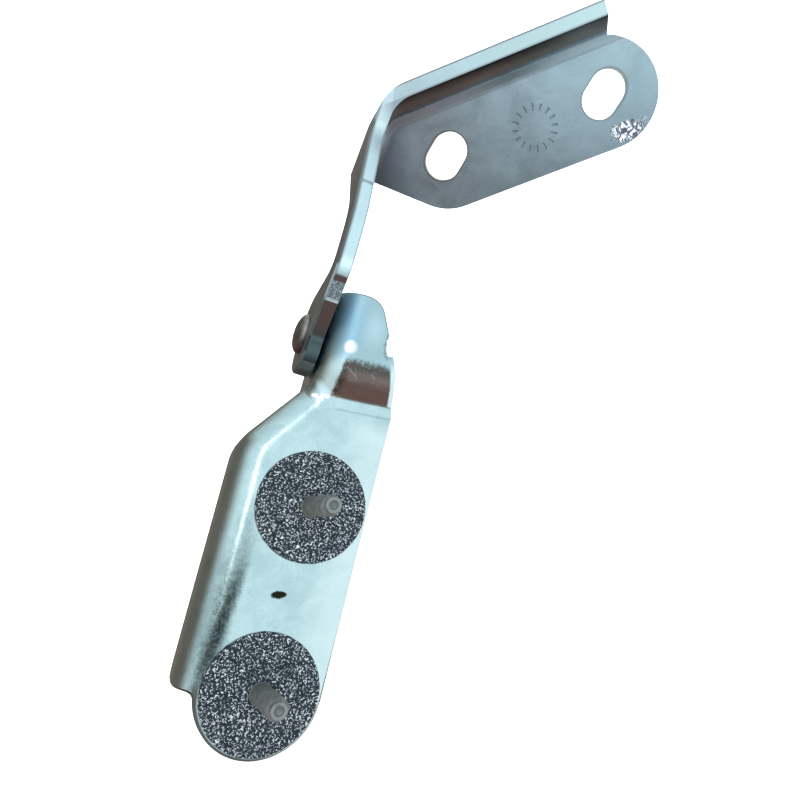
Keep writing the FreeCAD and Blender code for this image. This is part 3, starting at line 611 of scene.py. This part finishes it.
# %% Bonnet leaf base and bright strip
ARM_BORDER = -3.8, -4.2
STRIP_BORDER_TONE = (0.22, 0.28, 0.31, 1.0)
leaf_zinc = Zinc("bonnet_leaf_zinc", (0.60, 0.77, 0.88, 1), (0.43, 0.55, 0.64, 1), ALONG, 0.31, lines=0.16)
leaf_fine = leaf_zinc.noise(0.8, 3.0, 0.7)
tray_u, tray_v, tray_w = leaf_zinc.moved(TRAY_CORNER, TRAY_AXES)
arm_x, _, arm_z = leaf_zinc.moved(PIVOT, HINGE_AXES)
rim = tray_w.ramp(13.2, 13.7) * leaf_zinc.facing(OUTWARD, 0.50, 0.70)
front_cut = leaf_zinc.facing(-BEHIND, 0.60, 0.66) * arm_x.ramp(0.6, 0.2) * tray_u.ramp(6.0, 2.0)
bright_cut = front_cut * arm_z.ramp(11.6, 12.4)
strip = rim.larger(bright_cut)
# Partly the cut edge's own finish, partly painted reflection of the bright side.
strip_finish_and_reflection = leaf_zinc.mix(leaf_zinc.noise(1.0, 5.0, 0.75).ramp(0.30, 0.70), (0.60, 0.78, 0.87, 1),
                           (0.69, 0.87, 0.95, 1))
leaf_zinc.stain(strip, strip_finish_and_reflection, 0.42, 0.8)
leaf_zinc.stain(rim * 0.4, (0.46, 0.62, 0.66, 1.0))
leaf_zinc.stain(rim * tray_u.ramp(10.0, 55.0) * 0.45, (0.40, 0.50, 0.50, 1.0))
# Painted highlight on the arm's upper cut.
leaf_zinc.stain(bright_cut * 0.30, (0.82, 0.96, 1.0, 1.0))
arm_line = arm_x.ramp(-1.20, -0.85).larger(arm_x.ramp(*ARM_BORDER))
rim_line = tray_v.ramp(4.95, 4.50).larger(tray_v.ramp(7.9, 8.3))
leaf_zinc.stain(bright_cut * arm_line * 0.55, STRIP_BORDER_TONE)
leaf_zinc.stain(rim * tray_u.ramp(4.0, 8.0) * rim_line * 0.55, STRIP_BORDER_TONE)
strip_chips = strip * leaf_zinc.noise(0.9, 4.0, 0.75).ramp(0.68, 0.74)
leaf_zinc.stain(strip_chips * 0.5, (0.22, 0.27, 0.30, 1.0), 0.5)
print("bright strip along rim and arm")

# %% [markdown]
# Blanking rounds one border of an edge and leaves the other sharp. The rounded one shows as a dark
# line of painted dark reflection. A dark strip of world could make it, but other faces would mirror
# the strip too, so the faces that look that way are painted dark. A shear mark crosses the arm where
# it meets the tray: a thin band will do.

# %% Rolled border's painted dark reflection and shear mark
SHEAR_HEIGHT = 44.6
arm_roll_reflection = leaf_zinc.facing((-BEHIND - PIVOT_AXIS).normalized(), 0.93, 0.97) * arm_x.ramp(*ARM_BORDER)
rim_roll_reflection = leaf_zinc.facing((OUTWARD + ACROSS).normalized(), 0.93, 0.97) * tray_w.ramp(12.9, 13.2)
# Painted dark reflection along the rounded borders.
leaf_zinc.stain(arm_roll_reflection.larger(rim_roll_reflection) * 0.75, (0.16, 0.15, 0.14, 1.0), 0.4)
shear_mark = front_cut * (arm_z - SHEAR_HEIGHT + leaf_fine).size().ramp(0.9, 0.3)
leaf_zinc.stain(shear_mark * 0.7, (0.30, 0.36, 0.40, 1.0))
print("shear mark", SHEAR_HEIGHT, "mm above the pivot")

# %% [markdown]
# Low on the arm its front edge turns down towards the ground and mirrors it dark, painted here as
# dark reflection, with one rough hatched field that ends in a bright line. Its lines could be cut one
# by one, but at this size strongly twisted noise in two tones reads as a torn edge, and it also goes
# into the relief.

# %% Low edge's painted dark reflection and hatched field
HATCH_FOOT = 5.9
LOW_EDGE_SIDE = (-BEHIND - UP).normalized()
low_cut = front_cut * arm_z.ramp(12.4, 11.6)
# Painted dark reflection of the ground on the low front edge.
low_cut_reflection_tone = leaf_zinc.mix(arm_z.ramp(-5.0, 1.0), (0.055, 0.085, 0.095, 1), (0.13, 0.085, 0.080, 1))
leaf_zinc.stain(low_cut, low_cut_reflection_tone, 0.35)
hatch_zone = front_cut * arm_z.ramp(10.6, 10.2) * arm_z.ramp(5.6, 6.0)
hatch = leaf_zinc.noise(0.55, 3.0, 0.8, twist=2.0).ramp(0.46, 0.54)
leaf_zinc.stain(hatch_zone, leaf_zinc.mix(hatch, (0.13, 0.15, 0.18, 1), (0.62, 0.76, 0.86, 1)), 0.45)
hatch_line = front_cut * (arm_z - HATCH_FOOT).size().ramp(0.55, 0.2)
leaf_zinc.stain(hatch_line, (0.85, 0.95, 1.0, 1.0), 0.45)
print("hatched field above", HATCH_FOOT, "mm")

# %% [markdown]
# The arm's outer side is a dull, mottled brown-grey, and the edge under the boss is darker still;
# both are painted dark reflection. A darker world on that side would dull the body leaf's flange as
# well, so the two are painted by the way they face.

# %% Sides of the arm: painted dark reflection
# Painted dark reflection on the arm's outer side, mottled.
outer_side = leaf_zinc.facing(-PIVOT_AXIS, 0.80, 0.90)
side_cloud = leaf_zinc.noise(6.0, 5.0, 0.65, twist=0.8).ramp(0.35, 0.65)
side_reflection_tone = leaf_zinc.mix(side_cloud, (0.22, 0.20, 0.185, 1), (0.38, 0.35, 0.32, 1))
leaf_zinc.stain(outer_side * 0.70, side_reflection_tone, 0.40)
# Painted dark reflection on the edge under the boss.
low_edge_reflection = leaf_zinc.facing(LOW_EDGE_SIDE, 0.10, 0.30) * arm_z.ramp(7.0, 5.0)
leaf_zinc.stain(low_edge_reflection * (1.0 - front_cut) * 0.85, (0.10, 0.115, 0.12, 1.0), 0.45)
print("sides of the arm stained")

# %% [markdown]
# Under the rim the flange wall starts with an almost black line of painted shadow, turns brown
# downwards and ends in a slate bend.
# It may be shadow or a film on the zinc: one picture doesn't tell. A stain from a foot tone to a top
# tone is simplest to steer, and the bend is made less of a mirror, which lets its own colour show.

# %% Flange wall and bend
BEND_SIDE = (OUTWARD - ACROSS * 0.7).normalized()
inner_bend = leaf_zinc.facing(BEND_SIDE, 0.84, 0.97) * tray_u.ramp(-3.0, 4.0)
bend_tone = leaf_zinc.mix(tray_u.ramp(6.0, 32.0), (0.050, 0.065, 0.075, 1), (0.10, 0.13, 0.148, 1))
bend_tone = leaf_zinc.mix(tray_u.ramp(38.0, 60.0), bend_tone, (0.072, 0.098, 0.115, 1))
leaf_zinc.stain(inner_bend * 0.95, bend_tone, 0.55, 0.30)
below_rim = tray_w.ramp(13.9, 13.6)
wall_side = leaf_zinc.facing(-ACROSS, 0.45, 0.80)
flange_wall = tray_w.ramp(2.5, 5.0) * below_rim * tray_u.ramp(-3.0, 3.0) * wall_side
to_end = tray_u.ramp(30.0, 62.0)
wall_foot = leaf_zinc.mix(to_end, (0.85, 0.72, 0.64, 1), (0.52, 0.50, 0.42, 1))
wall_top = leaf_zinc.mix(to_end, (0.26, 0.21, 0.18, 1), (0.12, 0.13, 0.12, 1))
leaf_zinc.stain(flange_wall * 0.95, leaf_zinc.mix(tray_w.ramp(6.0, 13.0), wall_foot, wall_top), 0.50)
# Painted shadow: the dark line right under the rim.
under_rim_shadow = tray_w.ramp(12.2, 12.8) * below_rim * wall_side * tray_u.ramp(0.0, 3.0)
leaf_zinc.stain(under_rim_shadow * 0.85, (0.06, 0.055, 0.055, 1.0), 0.5)
print("flange wall and bend stained")

# %% [markdown]
# The tray floor darkens towards the toe and the lower edge, and each slot has brown walls and a
# thin brown outline. A drawn line would need an image, so the outline comes from the slot's own
# sizes: the distance to its middle line is the same all round it.

# %% Tray floor and slots
SLOT_FIRST = 17.2
SLOT_PITCH = 55.5
SLOT_DROP = 16.2
SLOT_WIDTH = 12.0
SLOT_LENGTH = 16.4
SLOT_ANGLE = math.radians(37.5)
floor_front = leaf_zinc.facing(OUTWARD, 0.70, 0.90) * tray_w.ramp(0.9, 0.5) * tray_w.ramp(-0.9, -0.5)
leaf_zinc.stain(tray_u.ramp(8.0, -8.0) * floor_front * 0.8, (0.20, 0.165, 0.17, 1.0), 0.45)
low_floor = (tray_u * 0.14 - tray_v).ramp(26.0, 44.0) * floor_front
leaf_zinc.stain(low_floor * 0.35, (0.26, 0.32, 0.36, 1.0))
half_line = (SLOT_LENGTH - SLOT_WIDTH) / 2
slot_edge = SLOT_WIDTH / 2
for slot_place in (SLOT_FIRST, SLOT_FIRST + SLOT_PITCH):
    slot_middle = Vector(TRAY_CORNER) + ALONG * slot_place - ACROSS * SLOT_DROP
    slot_wall = leaf_zinc.spot(slot_middle, 9.4, 0.05) * leaf_zinc.facing(OUTWARD, 0.50, 0.30)
    leaf_zinc.stain(slot_wall * tray_w.ramp(-4.35, -4.20) * 0.85, (0.27, 0.18, 0.14, 1.0), 0.45, 0.6)
    slot_u, slot_v = tray_u - slot_place, tray_v + SLOT_DROP
    across_slot = slot_v * math.cos(SLOT_ANGLE) - slot_u * math.sin(SLOT_ANGLE)
    past_line = (slot_u * math.cos(SLOT_ANGLE) + slot_v * math.sin(SLOT_ANGLE)).size() - half_line
    slot_away = leaf_zinc.distance(past_line.larger(0.0), across_slot, 0.0)
    outline = slot_away.ramp(slot_edge + 0.75, slot_edge + 0.25)
    leaf_zinc.stain(outline * floor_front * 0.75, (0.17, 0.12, 0.10, 1.0), 0.5)
print("two slots outlined,", SLOT_PITCH, "mm apart")

# %% [markdown]
# Two large soft casts lie over the tray: purple-brown near the corner and light blue on the round
# end lobe. Tinted lamps would colour everything else too, so the casts are two soft spots.

# %% Colour casts of the tray
CORNER_CAST_PLACE = (3.0, -3.0, 124.0)
LOBE_CAST_PLACE = (50.0, -38.0, 146.0)
purple = leaf_zinc.spot(CORNER_CAST_PLACE, 20.0, 0.6, ragged=leaf_zinc.noise(8.0) - 0.5)
leaf_zinc.stain(purple * 0.35, (0.33, 0.29, 0.31, 1.0))
lobe_blue = leaf_zinc.spot(LOBE_CAST_PLACE, 24.0, 0.5)
leaf_zinc.stain(lobe_blue * 0.4 * (1.0 - strip), (0.66, 0.88, 1.0, 1.0))
print("casts at the corner and on the lobe")

# %% [markdown]
# The tray floor carries a plain ring of pressed ticks. Sixteen small cuts could be modelled one by
# one, but the turn about the ring's middle, repeated sixteen times, gives them all at once.

# %% Ring of ticks
TICKS = 16
RING_RADIUS = 6.6
RING_PLACE = (48.2, -18.2)
ring_u, ring_v = tray_u - RING_PLACE[0], tray_v - RING_PLACE[1]
ring_away = leaf_zinc.distance(ring_u, ring_v, 0.0)
ring_turn = leaf_zinc.node("Math", {"operation": "ARCTAN2"}, {0: ring_v, 1: ring_u})
tick_place = leaf_zinc.node("Math", {"operation": "FRACT"}, {
    0: ring_turn * (TICKS / math.tau) + TICKS / 2})
ticks = (tick_place - 0.5).size().ramp(0.13, 0.07) * (ring_away - RING_RADIUS).size().ramp(1.1, 0.9)
ticks = ticks * floor_front
leaf_zinc.stain(ticks * 0.35, (0.16, 0.18, 0.19, 1.0), 0.4)
print(TICKS, "ticks on a ring of", RING_RADIUS, "mm")

# %% [markdown]
# A crust of white corrosion sits at the lobe's lower edge, neither metal nor smooth. Flakes as
# meshes would be thousands of faces, so one twisted noise is split at one level: above it are pale
# raised flakes, below it dark gaps.

# %% Crust on the lobe
CRUST_PLACE = (76.6, -29.4)
crust_noise = leaf_zinc.noise(2.1, 3.0, 0.7, twist=2.2)
crust_away = leaf_zinc.distance((tray_u - CRUST_PLACE[0]) * 0.8, (tray_v - CRUST_PLACE[1]) * 1.5, tray_w)
crust_border = crust_away + (leaf_zinc.noise(3.0, 3.0, 0.6) - 0.5) * 9.0
crust_zone = tray_w.ramp(-2.5, -1.5) * crust_border.ramp(5.2, 4.4)
crust_pale = crust_zone * crust_noise.ramp(0.49, 0.55)
crust_dark = crust_zone * crust_noise.ramp(0.49, 0.43)
leaf_zinc.stain(crust_pale, (0.80, 0.82, 0.92, 1.0), 0.9, 0.0)
leaf_zinc.stain(crust_dark * 0.75, (0.18, 0.13, 0.20, 1.0), 0.8)
print("crust at", CRUST_PLACE)

# %% [markdown]
# Last, the relief of all these marks is added up. The rim's shading normal leans a little towards
# the flange, which lets the flat rim mirror the bright side as the real one does. Tilting the CAD
# face would do that too, but it would change the exact shape.

# %% Relief and rim
RIM_LEAN = 0.30
leaf_zinc.relief = (leaf_zinc.relief + leaf_fine * 0.1 + crust_pale * 3.0 - ticks * 3.0
                    - shear_mark * 1.5 + hatch * hatch_zone * 2.0)
flat_normal = leaf_zinc.node("NewGeometry", output="Normal")
lean = leaf_zinc.node("VectorMath", {"operation": "SCALE"}, {0: ACROSS, "Scale": rim * RIM_LEAN})
leaned = leaf_zinc.node("VectorMath", {"operation": "ADD"}, {0: flat_normal, 1: lean})
leaf_zinc.done(normal=leaf_zinc.node("VectorMath", {"operation": "NORMALIZE"}, {0: leaned}))
dress(nodes["bonnet_leaf"], leaf_zinc)
print("bonnet leaf dressed")

# %% [markdown]
# The studs, the seals and the rivet are turned parts. Each one starts as half a profile, a line
# of points beside the axis, which spin carries round. The thread is the same operator with a
# small step along the axis, so that the profile winds up like a screw; two planes then cut the
# screw to length, and the open ends are filled.

# %% Turning tools
MERGE_DISTANCE = 0.001 * MM


def finish_mesh(name, shape, sharp=35.0):
    """Makes an object of a bmesh, with its faces outwards and smooth up to the sharp angle."""
    bmesh.ops.recalc_face_normals(shape, faces=shape.faces)
    mesh = bpy.data.meshes.new(name)
    shape.to_mesh(mesh)
    shape.free()
    for face in mesh.polygons:
        face.use_smooth = True
    mesh.set_sharp_from_angle(angle=math.radians(sharp))
    piece = bpy.data.objects.new(name, mesh)
    bpy.context.scene.collection.objects.link(piece)
    return piece


def spin_profile(shape, profile, start, axis, steps=72):
    """Spins a closed profile of (along, radius) in mm about the axis through start."""
    side = axis.orthogonal().normalized()
    points = [shape.verts.new(start + (axis * along + side * radius) * MM) for along, radius in profile]
    edges = [shape.edges.new(pair) for pair in zip(points, points[1:])]
    bmesh.ops.spin(shape, geom=points + edges, cent=start, axis=axis, angle=math.tau, steps=steps,
                   use_merge=True)
    bmesh.ops.remove_doubles(shape, verts=shape.verts, dist=MERGE_DISTANCE)


def soften(shape, width_mm, angle=40.0):
    """Rounds every edge of the shape that is sharper than the angle."""
    edges = [edge for edge in shape.edges
             if len(edge.link_faces) == 2 and edge.calc_face_angle() > math.radians(angle)]
    bmesh.ops.bevel(shape, geom=edges, offset=width_mm * MM, offset_type="OFFSET", segments=2,
                    profile=0.5, affect="EDGES", material=-1)


print("turning tools ready")

# %% [markdown]
# The studs are M6 with a plain dog point. Their thread is worn shallow near the seal and full
# towards the tip. It is wound at full depth first and pressed back afterwards, point by point,
# because spin can only repeat one profile.

# %% Thread
STUD_AXIS = FRONT
THREAD_PITCH = 1.0
THREAD_CREST = 2.97
THREAD_ROOT = 2.66
THREAD_LENGTH = 18.4
THREAD_CHAMFER = 0.8
SHALLOW_SHARE = 0.25
SHALLOW_END = 6.0
FULL_DEPTH_AFTER = 8.0
STEPS_A_TURN = 40


def wind_thread(shape, start):
    """Winds one pitch of the thread up the stud and merges the turns."""
    pitch_line = [(0.0, THREAD_ROOT), (0.12, THREAD_ROOT), (0.40, THREAD_CREST), (0.60, THREAD_CREST),
                  (0.88, THREAD_ROOT), (1.0, THREAD_ROOT)]
    side = Vector((1.0, 0.0, 0.0))
    first = start - STUD_AXIS * THREAD_PITCH * 1.5 * MM
    points = [shape.verts.new(first + (STUD_AXIS * along * THREAD_PITCH + side * radius) * MM)
              for along, radius in pitch_line]
    edges = [shape.edges.new(pair) for pair in zip(points, points[1:])]
    turns = round(THREAD_LENGTH / THREAD_PITCH) + 3
    bmesh.ops.spin(shape, geom=points + edges, cent=start, axis=STUD_AXIS, angle=math.tau * turns,
                   steps=STEPS_A_TURN * turns, dvec=STUD_AXIS * (THREAD_PITCH * MM / STEPS_A_TURN))
    bmesh.ops.remove_doubles(shape, verts=shape.verts, dist=MERGE_DISTANCE)


def thread(shape, start):
    """A screw thread from the seal to the dog point, with a chamfered end."""
    wind_thread(shape, start)
    for along, outward in ((0.02, -1.0), (THREAD_LENGTH, 1.0)):
        bmesh.ops.bisect_plane(shape, geom=shape.verts[:] + shape.edges[:] + shape.faces[:], dist=1e-7,
                               plane_co=start + STUD_AXIS * along * MM, plane_no=STUD_AXIS * outward,
                               clear_outer=True)
    bmesh.ops.holes_fill(shape, edges=[edge for edge in shape.edges if edge.is_boundary])
    for vert in shape.verts:
        offset = vert.co - start
        along = offset.dot(STUD_AXIS) / MM
        away = offset - STUD_AXIS * along * MM
        deeper = min(1.0, max(0.0, (along - SHALLOW_END) / FULL_DEPTH_AFTER))
        shallow = SHALLOW_SHARE + (1.0 - SHALLOW_SHARE) * deeper
        if away.length > 0.5 * THREAD_ROOT * MM:
            away = away.normalized() * (THREAD_CREST * MM - (THREAD_CREST * MM - away.length) * shallow)
            vert.co = start + STUD_AXIS * along * MM + away
        limit = (THREAD_CREST - max(0.0, along - (THREAD_LENGTH - THREAD_CHAMFER))) * MM
        if away.length > limit:
            vert.co = start + STUD_AXIS * along * MM + away.normalized() * limit


print("thread", THREAD_PITCH, "mm pitch,", THREAD_LENGTH, "mm long")

# %% [markdown]
# A stud is three closed bodies that run into one another: the thread, the dog point with the dimple
# of the cutting tool in its end, and the shank with the flat head that holds it in the pad. Merging
# them into one skin would only cost faces, because what overlaps is hidden inside.

# %% Threaded studs
STUD_HEIGHTS = {"upper": 0.0, "lower": -STUD_PITCH}
DOG_START = 17.0
DOG_RADIUS = 2.17
STUD_TIP = 20.27
SHANK_RADIUS = 3.2
PAD_BACK = -4.0
STUD_HEAD_RADIUS = 5.95
STUD_HEAD_BACK = -5.78
DOG_LINE = [(DOG_START, 0.0), (DOG_START, DOG_RADIUS), (STUD_TIP, DOG_RADIUS), (STUD_TIP, 1.30),
            (STUD_TIP - 0.55, 0.95), (STUD_TIP - 0.80, 0.0)]
SHANK_LINE = [(-0.02, 0.0), (-0.02, SHANK_RADIUS), (PAD_BACK, SHANK_RADIUS), (PAD_BACK, STUD_HEAD_RADIUS),
              (-4.95, STUD_HEAD_RADIUS), (-5.55, 5.40), (STUD_HEAD_BACK, 4.6), (STUD_HEAD_BACK, 0.0)]


def stud(name, height, body):
    start = Vector((0.0, 0.0, height * MM))
    shape = bmesh.new()
    thread(shape, start)
    for profile, softness in ((DOG_LINE, 0.18), (SHANK_LINE, 0.15)):
        part = bmesh.new()
        spin_profile(part, profile, start, STUD_AXIS)
        soften(part, softness)
        holder = bpy.data.meshes.new("part")
        part.to_mesh(holder)
        part.free()
        shape.from_mesh(holder)
        bpy.data.meshes.remove(holder)
    piece = finish_mesh(name + "_stud_threaded", shape, sharp=50.0)
    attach(piece, body)
    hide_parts(name + "_stud")
    print(piece.name, len(piece.data.polygons), "faces")
    return piece


studs = [stud(stud_name, stud_height, "body_side") for stud_name, stud_height in STUD_HEIGHTS.items()]

# %% [markdown]
# The studs are matt grey steel, mottled, and a little lighter on the worn end. Two materials could
# meet there, but one finish finds the end by its distance along the stud and serves both studs.

# %% Stud finish
TIP_WEAR = STUD_TIP - 0.20, STUD_TIP - 0.05
stud_finish = Finish("stud_steel", Metallic=0.55)
stud_cloud = stud_finish.noise(2.2, 4.0, 0.65)
stud_grain = stud_finish.noise(0.25, 2.0)
stud_along = stud_finish.node("SeparateXYZ", None, {0: stud_finish.place}, "Y") * (-1 / MM)
tip_wear = stud_along.ramp(*TIP_WEAR)
stud_tone = stud_finish.mix(stud_cloud.ramp(0.35, 0.65), (0.155, 0.170, 0.165, 1), (0.22, 0.235, 0.23, 1))
stud_tone = stud_finish.mix(stud_grain.ramp(0.60, 0.75) * 0.4, stud_tone, (0.55, 0.54, 0.52, 1))
stud_tone = stud_finish.mix(tip_wear * stud_cloud.ramp(0.25, 0.45), stud_tone, (0.25, 0.265, 0.27, 1))
stud_finish.wear(stud_tone, stud_grain * 0.2 + 0.45 - tip_wear * 0.18,
                 height=stud_cloud * 0.5 + stud_grain * 0.4, depth_mm=0.05)
for piece in studs:
    dress(piece, stud_finish)
print("studs dressed")

# %% [markdown]
# Each stud carries a round seal, a washer cut from a sheet of rubber crumb, so its rim is slightly
# uneven. It is spun from a short profile with many steps, and then a noise pulls the rim inwards a
# little, where a plain cylinder would look machined.

# %% Seals
SEAL_RADIUS = 16.0
SEAL_BORE = 3.3
SEAL_BACK = -1.0
SEAL_UNEVEN = 0.20
CRUMB = 2.0


def seal(name, height, body):
    start = Vector((0.0, 0.0, height * MM))
    shape = bmesh.new()
    profile = [(0.0, SEAL_BORE), (0.0, SEAL_RADIUS - 0.28), (-0.08, SEAL_RADIUS - 0.08),
               (-0.28, SEAL_RADIUS), (SEAL_BACK, SEAL_RADIUS), (SEAL_BACK, SEAL_BORE), (0.0, SEAL_BORE)]
    spin_profile(shape, profile, start, STUD_AXIS, steps=144)
    for vert in shape.verts:
        away = vert.co - start
        away.y = 0.0
        if away.length > (SEAL_RADIUS - 1.0) * MM:
            pulled = 0.5 + 0.5 * noise.noise(vert.co / (CRUMB * MM))
            vert.co -= away.normalized() * (SEAL_UNEVEN * pulled * MM)
    piece = finish_mesh(name + "_seal_crumb", shape)
    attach(piece, body)
    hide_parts(name + "_seal")
    return piece


seals = [seal(seal_name, seal_height, "body_side") for seal_name, seal_height in STUD_HEIGHTS.items()]
print(len(seals), "seals,", SEAL_RADIUS * 2, "mm across")

# %% [markdown]
# The rubber is dark slate with many short pale fibres in its face. Fibres as meshes would be
# thousands of faces, so they are drawn by the shader: the middle band of a noise makes long thin
# curves, a second noise cuts them into short pieces, and scattered dots add the crumbs.

# %% Seal finish
seal_finish = Finish("seal_rubber", Metallic=0.0, Specular_IOR_Level=0.15)
fibre_path = seal_finish.noise(1.0, 1.0, 0.4, twist=0.6)
fibre_line = (fibre_path - 0.5).size().ramp(0.054, 0.022)
fibre_cut = seal_finish.noise(0.70, 1.0, 0.4).ramp(0.48, 0.53)
fleck = seal_finish.dots(0.80).ramp(0.26, 0.17)
thick = seal_finish.noise(7.0, 2.0, 0.5).ramp(0.30, 0.55)
fibres = (fibre_line * fibre_cut).larger(fleck * 0.9) * (thick * 0.45 + 0.55)
rubber_cloud = seal_finish.noise(3.0, 4.0, 0.6)
rubber_tone = seal_finish.mix(rubber_cloud.ramp(0.3, 0.7), (0.010, 0.020, 0.030, 1), (0.028, 0.042, 0.056, 1))
rubber_tone = seal_finish.mix(fibres, rubber_tone, (0.66, 0.70, 0.72, 1))
seal_finish.wear(rubber_tone, 0.62 - fibres * 0.1, height=rubber_cloud * 0.4 + fibres * 0.8, depth_mm=0.08)
for piece in seals:
    dress(piece, seal_finish)
print("seals dressed with fibres")

# %% [markdown]
# The pivot rivet shows its dome beside the arm. In the frame the dome is three plain cones; here
# it is spun from an ellipse, and the clenched tail gets the small flat that a press leaves.

# %% Pivot rivet
SHANK_SPIN_RADIUS = 3.95
HEAD_RADIUS = 6.38
HEAD_SEAT = 5.02
HEAD_RIM = 0.6
HEAD_HEIGHT = 3.18
TAIL_SEAT = 4.32
TAIL_RADIUS = 5.98
TAIL_HEIGHT = 2.38
DOME_STEPS = 10
head_line = [(HEAD_SEAT, SHANK_SPIN_RADIUS), (HEAD_SEAT, HEAD_RADIUS)]
for step in range(DOME_STEPS + 1):
    turn = math.pi / 2 * step / DOME_STEPS
    head_line.append((HEAD_SEAT + HEAD_RIM + (HEAD_HEIGHT - HEAD_RIM) * math.sin(turn),
                      HEAD_RADIUS * math.cos(turn)))
tail_line = [(-TAIL_SEAT - TAIL_HEIGHT, 0.0), (-TAIL_SEAT - TAIL_HEIGHT, TAIL_RADIUS * 0.55),
             (-TAIL_SEAT - TAIL_HEIGHT * 0.85, TAIL_RADIUS * 0.82),
             (-TAIL_SEAT - TAIL_HEIGHT * 0.5, TAIL_RADIUS), (-TAIL_SEAT, TAIL_RADIUS),
             (-TAIL_SEAT, SHANK_SPIN_RADIUS)]
shape = bmesh.new()
spin_profile(shape, tail_line + head_line, Vector(PIVOT) * MM, -PIVOT_AXIS, steps=64)
soften(shape, 0.2, 50.0)
rivet = finish_mesh("pivot_rivet_domed", shape)
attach(rivet, "bonnet_side")
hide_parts("pivot_rivet")
print("rivet", len(rivet.data.polygons), "faces")

# %% [markdown]
# The rivet is plain plated steel, browner than the leaves. Mottled noise in three channels, colour,
# roughness and height, makes hammered steel of a smooth dome.

# %% Rivet finish
rivet_finish = Finish("rivet_steel", Metallic=1.0)
rivet_cloud = rivet_finish.noise(3.0, 4.0, 0.6)
rivet_grain = rivet_finish.noise(0.35, 2.0)
rivet_tone = rivet_finish.mix(rivet_cloud.ramp(0.35, 0.65), (0.25, 0.22, 0.20, 1), (0.39, 0.38, 0.365, 1))
rivet_finish.wear(rivet_tone, rivet_cloud * 0.2 + rivet_grain * 0.1 + 0.22,
                  height=rivet_cloud * 0.6 + rivet_grain * 0.2, depth_mm=0.10)
dress(rivet, rivet_finish)
print("rivet dressed")

# %% [markdown]
# Three small pieces sit round the pivot: a dark nylon washer between the leaves, a zinc-plated
# washer under the clenched tail, and a sintered bronze bush that is hidden. Their CAD shapes are
# already exact, so each only gets a finish, the two plain ones from one short function.

# %% Washers and bush
def plain_finish(name, metallic, dark, light, cloud_mm, roughness):
    """A clouded finish for a small piece."""
    finish = Finish(name, Metallic=metallic)
    cloud = finish.noise(cloud_mm, 3.0)
    finish.wear(finish.mix(cloud.ramp(0.35, 0.65), dark, light), cloud * 0.2 + roughness, height=cloud,
                depth_mm=0.03)
    return finish


nylon = plain_finish("washer_nylon", 0.0, (0.012, 0.012, 0.014, 1), (0.022, 0.022, 0.025, 1), 2.0, 0.4)
dress(nodes["friction_washer"], nylon)
backing_finish = Zinc("washer_steel", (0.62, 0.72, 0.75, 1), (0.46, 0.52, 0.54, 1), UP, 0.32)
backing_finish.done(0.05)
dress(nodes["backing_washer"], backing_finish)
bronze = plain_finish("bush_bronze", 1.0, (0.42, 0.27, 0.12, 1), (0.62, 0.43, 0.20, 1), 1.0, 0.30)
dress(nodes["pivot_bush"], bronze)
print("washers and bush dressed")
